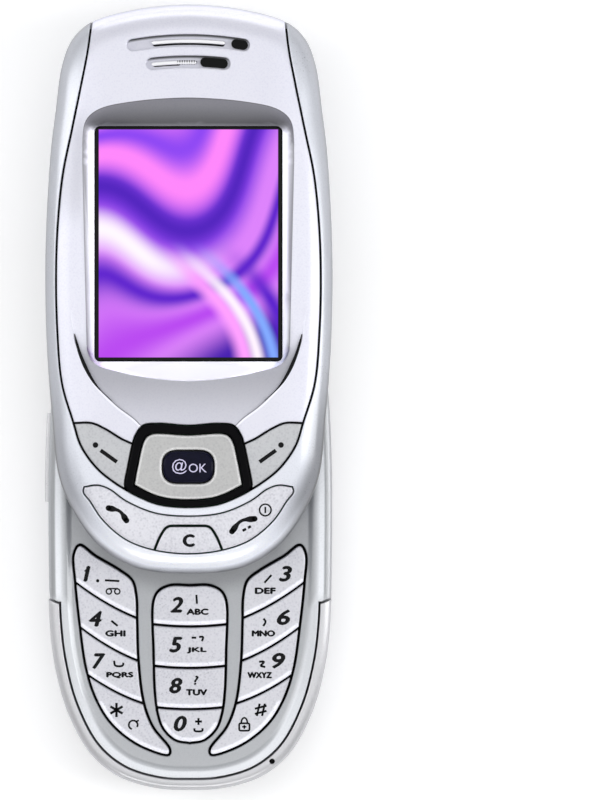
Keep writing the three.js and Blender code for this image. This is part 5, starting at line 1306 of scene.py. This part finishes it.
# Printed marks. Most places are pixels of the picture. VIEW_Y lies on VIEW_ROW and X = 0 on a column of its
# own for the keys, the display half and the back. The scales are pixels per millimetre.
VIEW_Y, VIEW_ROW = 18.1, 400
KEY_COLUMN, KEY_SCALE = 192, 6.2
FACE_COLUMN, BACK_COLUMN, FACE_SCALE = 188.3, 407, 6.28
INK = 0.012
DIGIT_HEIGHT, DIGIT_WIDTH, DIGIT_LEAN, DIGIT_BOLD = 2.36, 1.86, 0.22, 0.15
SMALL_HEIGHT, SMALL_BOLD = 0.9, 0.11
CALL_ENDS, CALL_BEND = ((108.5, 508), (126.5, 520.5)), 0.17
HANG_UP_ENDS, HANG_UP_BEND = ((232, 531.5), (254.8, 518.8)), 0.18
POWER_PLACE, POWER_RADIUS = (265.4, 510), 0.92
SOFTKEY_DOT, SOFTKEY_DASH = (95.5, 445), ((100.6, 450.3), (117, 462))
CLEAR_PLACE, AT_PLACE, OK_PLACE = (188.8, 540.6), (179.6, 466.5), (197.8, 468)


def view(column, scale, side=1):
    """Turns a pixel's column and row into a place on the phone."""
    return lambda px, py: (side * (px - column) / scale, VIEW_Y + (VIEW_ROW - py) / scale)


key_place, face_place = view(KEY_COLUMN, KEY_SCALE), view(FACE_COLUMN, FACE_SCALE)
rear_place = view(BACK_COLUMN, FACE_SCALE, -1)


def letters(text, height, x, y, level, lean=0.0, bold=0.0, wide=None):
    """Letters: the built-in font's outlines, filled, made that high and, where wide is given, that wide.

    Bold ones are laid five times, shifted by the bold width, which thickens their strokes.
    """
    curve = bpy.data.curves.new("letters", "FONT")
    curve.body, curve.shear, curve.extrude, curve.resolution_u = text, lean, 1.0, 3
    source = bpy.data.objects.new("letters", curve)
    bpy.context.scene.collection.objects.link(source)
    mesh = bpy.data.meshes.new_from_object(source)
    points = np.empty(len(mesh.vertices) * 3)
    mesh.vertices.foreach_get("co", points)
    points = points.reshape(-1, 3)
    faces = [list(polygon.vertices) for polygon in mesh.polygons]
    bpy.data.objects.remove(source)
    bpy.data.curves.remove(curve)
    bpy.data.meshes.remove(mesh)
    low, high = points[:, :2].min(axis=0), points[:, :2].max(axis=0)
    scale = height / (high[1] - low[1])
    stretch = wide / (high[0] - low[0]) if wide else scale
    flat = (points[:, :2] - (low + high) / 2) * (stretch, scale) + (x, y)
    solid = np.column_stack([flat, level + INK * points[:, 2]])
    shifts = [(0, 0), (1, 0), (-1, 0), (0, 0.7), (0, -0.7)] if bold else [(0, 0)]
    return joined([(solid + (bold * u, bold * v, 0.1 * INK * k), faces) for k, (u, v) in enumerate(shifts)])


def stroke(points, width, level, closed=False):
    """A drawn line: a smooth curve through a few points, as wide as the width says at each."""
    line = spline(points, closed, 8) if len(points) > 2 else np.linspace(*np.asarray(points, float), 9)
    along = np.linspace(0, 1, len(line))
    wide = np.interp(along, np.linspace(0, 1, np.size(width)), np.ravel(width))
    return ribbon(line, wide, level + INK, 2 * INK, closed)


def dot(x, y, radius, level):
    """A flat round mark."""
    return sheet_mesh(level + INK, [circle(x, y, radius, 28)], soft=[], foot=level - INK)


def arc(x, y, across, up, start, end, count):
    """Part of an ellipse, from one turn to another."""
    turn = np.linspace(start, end, count)
    return np.column_stack([x + across * np.cos(turn), y + up * np.sin(turn)])


def drawn(place_of, level, width, *lines):
    """Several drawn lines, each a list of places measured on the picture."""
    return [stroke([place_of(*p) for p in line], width, level) for line in lines]


def on_key(width, *lines):
    """Drawn lines on a number key, given in millimetres."""
    return [stroke(line, width, KEY_TOP) for line in lines]


def tape_mark():
    """Voice mail: two rings on a line, and the foot of the digit before it."""
    rings = [circle(*key_place(px, 591.7), 0.42, 20) for px in (111.0, 119.4)]
    return [
        *(stroke(ring, 0.24, KEY_TOP, True) for ring in rings),
        *drawn(key_place, KEY_TOP, 0.24, [(110.6, 588.8), (120, 588.8)]),
        *drawn(key_place, KEY_TOP, [0.2, 0.42], [(86.6, 571.6), (91.4, 567.9)]),
    ]


def star_mark():
    """A star of three strokes, and an open ring with a tail."""
    middle = np.array(key_place(118.6, 710.4))
    turns = [np.array([math.cos(turn), math.sin(turn)]) * 1.15 for turn in np.radians([30, 90, 150])]
    ring = arc(*key_place(135.4, 725.4), 0.72, 0.72, -0.5, 4.4, 9)
    return [
        *on_key(0.4, *([middle - across, middle + across] for across in turns)),
        *on_key(0.3, ring), *drawn(key_place, KEY_TOP, 0.28, [(137.5, 722.6), (141, 720.6)]),
    ]


def hash_mark():
    """A number sign of two level and two leaning strokes, and a padlock."""
    x, y = key_place(263, 710.2)
    lock_x, lock_y = key_place(246.6, 727.2)
    sign = []
    for shift in (-0.42, 0.42):
        sign.append([(x - 0.95, y + shift - 0.25), (x + 0.95, y + shift + 0.25)])
        sign.append([(x + shift - 0.2, y - 1.0), (x + shift + 0.25, y + 1.0)])
    body = rounded(rectangle(lock_x - 0.82, lock_x + 0.82, lock_y - 0.62, lock_y + 0.55), 0.25, 3)
    shackle = arc(lock_x, lock_y + 0.6, 0.5, 0.85, 0, math.pi, 7)
    upright = [(lock_x, lock_y - 0.35), (lock_x, lock_y + 0.3)]
    level = [(lock_x - 0.35, lock_y), (lock_x + 0.35, lock_y)]
    return [
        *on_key(0.34, *sign), stroke(body, 0.3, KEY_TOP, True),
        *on_key(0.28, shackle), *on_key(0.26, upright, level),
    ]


def question_mark():
    """The mark beside the 8."""
    return [letters("?", 1.4, *key_place(198.4, 680.6), KEY_TOP, 0.2, 0.1)]


# Each key's digit and small letters with their middles, the small letters' width, and its drawn lines
LEGENDS = {
    "1": ((89, 574), None, [[(107, 580.5), (121.5, 581.3)]]),
    "2": ((178.7, 605), ("ABC", (199.7, 612), 3.4), [[(198.6, 595), (199.2, 604)]]),
    "3": ((287.8, 574), ("DEF", (267.7, 591), 3.2), [[(266.7, 583), (273.8, 575.2)]]),
    "4": ((97.4, 619), ("GHI", (117.5, 633.7), 3.1), [[(113.4, 621), (119.8, 626.2)]]),
    "5": ((178, 645), ("JKL", (199, 650.6), 3.05), [
        [(193.8, 638), (198.5, 638)], [(201.3, 637.2), (205.2, 637.4), (204.2, 641.6)]]),
    "6": ((285.8, 617.5), ("MNO", (265.8, 633.7), 3.6), [[(265.8, 618.8), (267.8, 622), (265.6, 626.4)]]),
    "7": ((101, 661.5), ("PQRS", (122, 675.5), 4.2), [
        [(116.2, 661), (117.4, 665.8), (124.6, 666), (125.6, 663)]]),
    "8": ((178, 686), ("TUV", (198.8, 692.7), 3.3), []),
    "9": ((281, 661), ("WXYZ", (262, 675.5), 3.8), [
        [(261.4, 662), (266.2, 662.2), (262.6, 666.2)], [(262.6, 666.2), (267.6, 667.4)]]),
    "0": ((182.5, 724), None, [
        [(200.7, 718.4), (200.7, 725.4)], [(197.2, 721.9), (204.2, 721.9)],
        [(196.6, 728.6), (197, 731.2), (204.4, 731.2), (204.8, 728.6)]]),
    "star": (None, None, []),
    "hash": (None, None, []),
}
ONE_DOT = (99.8, 581)
EXTRA_MARKS = {"1": tape_mark, "8": question_mark, "star": star_mark, "hash": hash_mark}
for name, (middle, small, lines) in LEGENDS.items():
    parts = drawn(key_place, KEY_TOP, 0.34, *lines)
    if name == "1":
        parts.append(dot(*key_place(*ONE_DOT), 0.26, KEY_TOP))
    if middle:
        wide = None if name == "1" else DIGIT_WIDTH
        parts.append(letters(name, DIGIT_HEIGHT, *key_place(*middle), KEY_TOP, DIGIT_LEAN, DIGIT_BOLD, wide))
    if small:
        text, spot, wide = small
        parts.append(letters(text, SMALL_HEIGHT, *key_place(*spot), KEY_TOP, 0.0, SMALL_BOLD, wide))
    if name in EXTRA_MARKS:
        parts += EXTRA_MARKS[name]()
    place(f"key_{name}_legend", joined(parts), "ink_black", f"key_{name}", False)


def handset(ends, bend):
    """A handset: a bent line, wide at both ends and thin between them."""
    start, end = (np.array(face_place(*place)) for place in ends)
    along = end - start
    middle = (start + end) / 2 + np.array([-along[1], along[0]]) * bend
    line = stroke([start, middle, end], [0.9, 1.0, 0.55, 0.5, 0.55, 1.0, 0.9], SLIDER_TOP)
    return joined([line, *(dot(*tip, 0.45, SLIDER_TOP) for tip in (start, end))])


for side, name in ((-1, "left"), (1, "right")):
    dot_x, dot_y = face_place(*SOFTKEY_DOT)
    dash = [(-side * x, y) for x, y in (face_place(*p) for p in SOFTKEY_DASH)]
    place(f"softkey_{name}_mark", joined([
        dot(-side * dot_x, dot_y, 0.45, SLIDER_TOP), stroke(dash, 0.62, SLIDER_TOP),
    ]), "ink_black", f"softkey_{name}", False)
power_x, power_y = face_place(*POWER_PLACE)
place("call_end_marks", joined([
    handset(CALL_ENDS, CALL_BEND), handset(HANG_UP_ENDS, HANG_UP_BEND),
    *drawn(face_place, SLIDER_TOP, 0.42, [(242.6, 530.8), (246.2, 528.9)], [(248, 527.9), (251, 526.2)]),
    stroke(circle(power_x, power_y, POWER_RADIUS, 28), 0.26, SLIDER_TOP, True),
    stroke([(power_x, power_y - 0.5), (power_x, power_y + 0.5)], 0.28, SLIDER_TOP),
]), "ink_black", "call_end_rocker", False)
place("clear_mark", letters("C", 1.85, *face_place(*CLEAR_PLACE), SLIDER_TOP, 0.0, 0.17), "ink_black",
      "clear_key", False)
place("ok_mark", joined([
    letters("@", 2.4, *face_place(*AT_PLACE), OK_TOP - 0.02),
    letters("OK", 1.4, *face_place(*OK_PLACE), OK_TOP - 0.03),
]), "ink_pale", "ok_button", False)

# Arrows in their frame on the slide plate, and the two hooks low on the battery
PLATE_FACE = 13.45
FRAME_CORNERS, FRAME_CORNER = ((367, 173), (446, 173), (446, 223), (367, 223)), 1.3
ARROWS = ((377.5, 183, 1), (434, 183, -1))
ARROW_LENGTH, ARROW_DASH, ARROW_PITCH, ARROW_WIDTH = 5.2, 0.42, 0.85, 0.24
HOOK = [(-0.6, 0.9), (-0.6, -0.4), (-0.42, -0.9), (0, -1.1), (0.42, -0.9), (0.6, -0.4), (0.6, 0.9)]
frame_mark = even(rounded([rear_place(*p) for p in FRAME_CORNERS], FRAME_CORNER, 5), 120)
arrows = [stroke(frame_mark, 0.42, PLATE_FACE, True)]
for px, py, way in ARROWS:
    x, high = rear_place(px, py)
    low = high - ARROW_LENGTH
    tip = high + 0.4 if way > 0 else low - 0.4
    lines = [[(x, y), (x, y + ARROW_DASH)] for y in np.arange(low, high - 0.3, ARROW_PITCH)]
    lines += [[(x + across, tip - way * 0.9), (x, tip)] for across in (-0.45, 0.45)]
    arrows += [stroke(line, ARROW_WIDTH, PLATE_FACE) for line in lines]
place("plate_marks", joined(arrows), "ink_black", "slide_plate", False)
hook_x, hook_y = on_base(HOOK_SHARE)
place("pack_hooks", joined([
    stroke(np.array(HOOK) + (side * hook_x, hook_y), 0.24, 0.0) for side in (-1, 1)
]), "ink_black", "battery_pack", False)

# Finishes of the CAD nodes that stay
KEPT = {
    "battery_cell": "dark_plastic", "battery_contacts": "copper", "main_board": "board_green",
    # The key mat is black so that the gaps between the keys show painted shade.
    "shield_can": "steel_satin", "key_mat": "black_matt", "sim_holder": "steel_satin",
    "sim_card": "card_white", "loudspeaker": "black_matt", "vibration_motor": "steel_satin",
    "internal_aerial": "copper",
    "microphone": "steel_satin", "system_connector": "steel_satin", "connector_cover": "rubber_grey",
    "slide_carriage": "steel_satin", "display_module": "black_plastic", "receiver": "black_matt",
    "function_board": "board_green", "pad_gimbal": "dark_plastic", "slide_plate": "plate_grey",
    "slide_rail_left": "chrome", "slide_rail_right": "chrome",
}


def repaint(node, material):
    """Gives a CAD node one new material."""
    materials = frame["nodes"][node].data.materials
    materials.clear()
    materials.append(material)


WHITE, BLACK = (1.0, 1.0, 1.0, 1.0), (0.0, 0.0, 0.0, 1.0)
PICTURE_HALF_WIDTH, PICTURE_HALF_HEIGHT, PICTURE_Y, PICTURE_EDGE = 14.25, 18.13, 43.08, 0.1


def lit_screen():
    """Clear window over the display: black round the picture, and the picture a flow of soft coloured bands.

    u and v are the picture's place in shares of its half size. flow and cross are v and u bent by sines, and
    each band of one of them is mixed over the last colour.
    """
    paint = Paint("lit_screen", Roughness=0.08, Specular_IOR_Level=0.15, Emission_Strength=1.0)
    x, y, _ = paint.axes()
    beside = abs(x).step(PICTURE_HALF_WIDTH, PICTURE_HALF_WIDTH + PICTURE_EDGE)
    beyond = abs(y - PICTURE_Y).step(PICTURE_HALF_HEIGHT, PICTURE_HALF_HEIGHT + PICTURE_EDGE)
    edge = beside.maths("MAXIMUM", beyond)
    u, v = x * (1 / PICTURE_HALF_WIDTH), (y - PICTURE_Y) * (1 / PICTURE_HALF_HEIGHT)
    drift = (u * 1.7 + v * 2.3 + 0.4).maths("SINE") * 0.22 + (u * 3.1 - v * 1.9 + 2.0).maths("SINE") * 0.1
    flow = v - u * 0.5 + (u * 2.3 + 1.2).maths("SINE") * 0.3 + drift
    cross = u + v * 0.4 + (v * 2.4 + 0.5).maths("SINE") * 0.25 + drift * 0.5
    left, low = 1 - u.step(-0.55, 0.55), 1 - v.step(-0.5, 0.05)
    picture = rgb(0.86, 0.50, 0.98)
    for share, colour in (
        (flow.step(0.0, 0.5), (0.50, 0.20, 0.90)),
        (flow.band(0.62, 0.30), (0.30, 0.04, 0.74)),
        (flow.step(0.72, 1.05), (1.0, 0.52, 0.98)),
        (flow.band(1.32, 0.22), (0.55, 0.25, 0.95)),
        (flow.band(0.08, 0.30) * left, (1.0, 0.97, 1.0)),
        (flow.band(-0.3, 0.2), (0.36, 0.06, 0.80)),
        (flow.band(-0.62, 0.25), (0.72, 0.26, 0.94)),
        (1 - flow.step(-1.25, -0.75), (0.25, 0.0, 0.68)),
        (cross.band(-0.1, 0.22) * low, (1.0, 0.62, 1.0)),
        (cross.band(0.08, 0.16) * low, (1.0, 0.95, 1.0)),
        (cross.band(0.32, 0.16) * low, (0.50, 0.66, 1.0)),
        (cross.band(0.62, 0.24) * low, (0.34, 0.03, 0.80)),
    ):
        picture = paint.mix(share, picture, rgb(*colour))
    paint.set(Base_Color=paint.mix(edge, rgb(0.05, 0.04, 0.08), rgb(0.02, 0.02, 0.03)))
    paint.set(Emission_Color=paint.mix(edge, picture, BLACK))
    return paint.material


for node, finish in KEPT.items():
    repaint(node, MATERIALS[finish])
repaint("display_window", lit_screen())

# Floor, light and camera, in metres
FLOOR_HALF, FLOOR_DROP = 3.0, 0.00002
FAR_MM = (200.0, 700.0)
AMBIENT = (0.28, 0.283, 0.292, 1.0)
TARGET = (0.0, 0.018, 0.015)
CAMERA_PLACE, CAMERA_LENS, CAMERA_REACH = (0.0178, 0.0181, 0.722), 197.8, 20
LAMPS = {
    "overhead": ((0.0, 0.05, 1.3), (1.4, 1.4), 5.7),
    "left_panel": ((-0.7, 0.15, 0.5), (0.3, 0.9), 2.0),
    "right_panel": ((0.75, 0.0, 0.45), (0.25, 0.9), 2.9),
    "low_panel": ((0.0, -0.8, 0.45), (0.9, 0.2), 2.0),
    "high_panel": ((0.0, 0.95, 0.18), (0.9, 0.25), 2.4),
}


def stage_floor():
    """Pale, and lit evenly to the camera far from the phone, where the lamps fall off."""
    paint = Paint("floor_white", Roughness=0.9, Emission_Strength=1.0)
    seen = paint.node("ShaderNodeLightPath", {}, {}, "Is Camera Ray")
    x, y, _ = paint.axes()
    far = (x * x + y * y).maths("SQRT").step(*FAR_MM)
    paint.set(Base_Color=paint.mix(seen, rgb(0.95, 0.95, 0.955), WHITE))
    paint.set(Emission_Color=paint.mix(seen, BLACK, paint.mix(far, (0.2, 0.2, 0.2, 1.0), WHITE)))
    corners = rectangle(-FLOOR_HALF, FLOOR_HALF, -FLOOR_HALF, FLOOR_HALF)
    points = np.column_stack([corners, np.full(4, -FLOOR_DROP)]) / MM
    finished("floor", points, [(0, 1, 2, 3)], paint.material)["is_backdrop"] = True


def lamp(name, place, size, power):
    """A rectangular lamp that points at the target."""
    data = bpy.data.lights.new(name, "AREA")
    data.shape, data.size, data.size_y, data.energy = "RECTANGLE", *size, power
    light = bpy.data.objects.new(name, data)
    light.location = place
    light.rotation_euler = (Vector(TARGET) - Vector(place)).to_track_quat("-Z", "Y").to_euler()
    bpy.context.scene.collection.objects.link(light)


def studio_world():
    """White to the camera, and a soft grey light to everything else."""
    world = bpy.data.worlds.new("studio")
    bpy.context.scene.world = world
    world.use_nodes = True
    nodes, links = world.node_tree.nodes, world.node_tree.links
    path, choice = nodes.new("ShaderNodeLightPath"), nodes.new("ShaderNodeMix")
    choice.data_type = "RGBA"
    links.new(path.outputs["Is Camera Ray"], choice.inputs[0])
    choice.inputs[6].default_value, choice.inputs[7].default_value = AMBIENT, WHITE
    links.new(choice.outputs[2], nodes["Background"].inputs["Color"])


stage_floor()
for name, (spot, size, power) in LAMPS.items():
    lamp(name, spot, size, power)
studio_world()
camera = bpy.data.objects.new("camera", bpy.data.cameras.new("camera"))
bpy.context.scene.collection.objects.link(camera)
camera.data.lens, camera.data.clip_end = CAMERA_LENS, CAMERA_REACH
camera.location = CAMERA_PLACE
bpy.context.scene.camera = camera
bpy.context.scene.view_settings.view_transform = "Standard"

size = {"cad": cad_box, "visual": [list(corner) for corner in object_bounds()]}
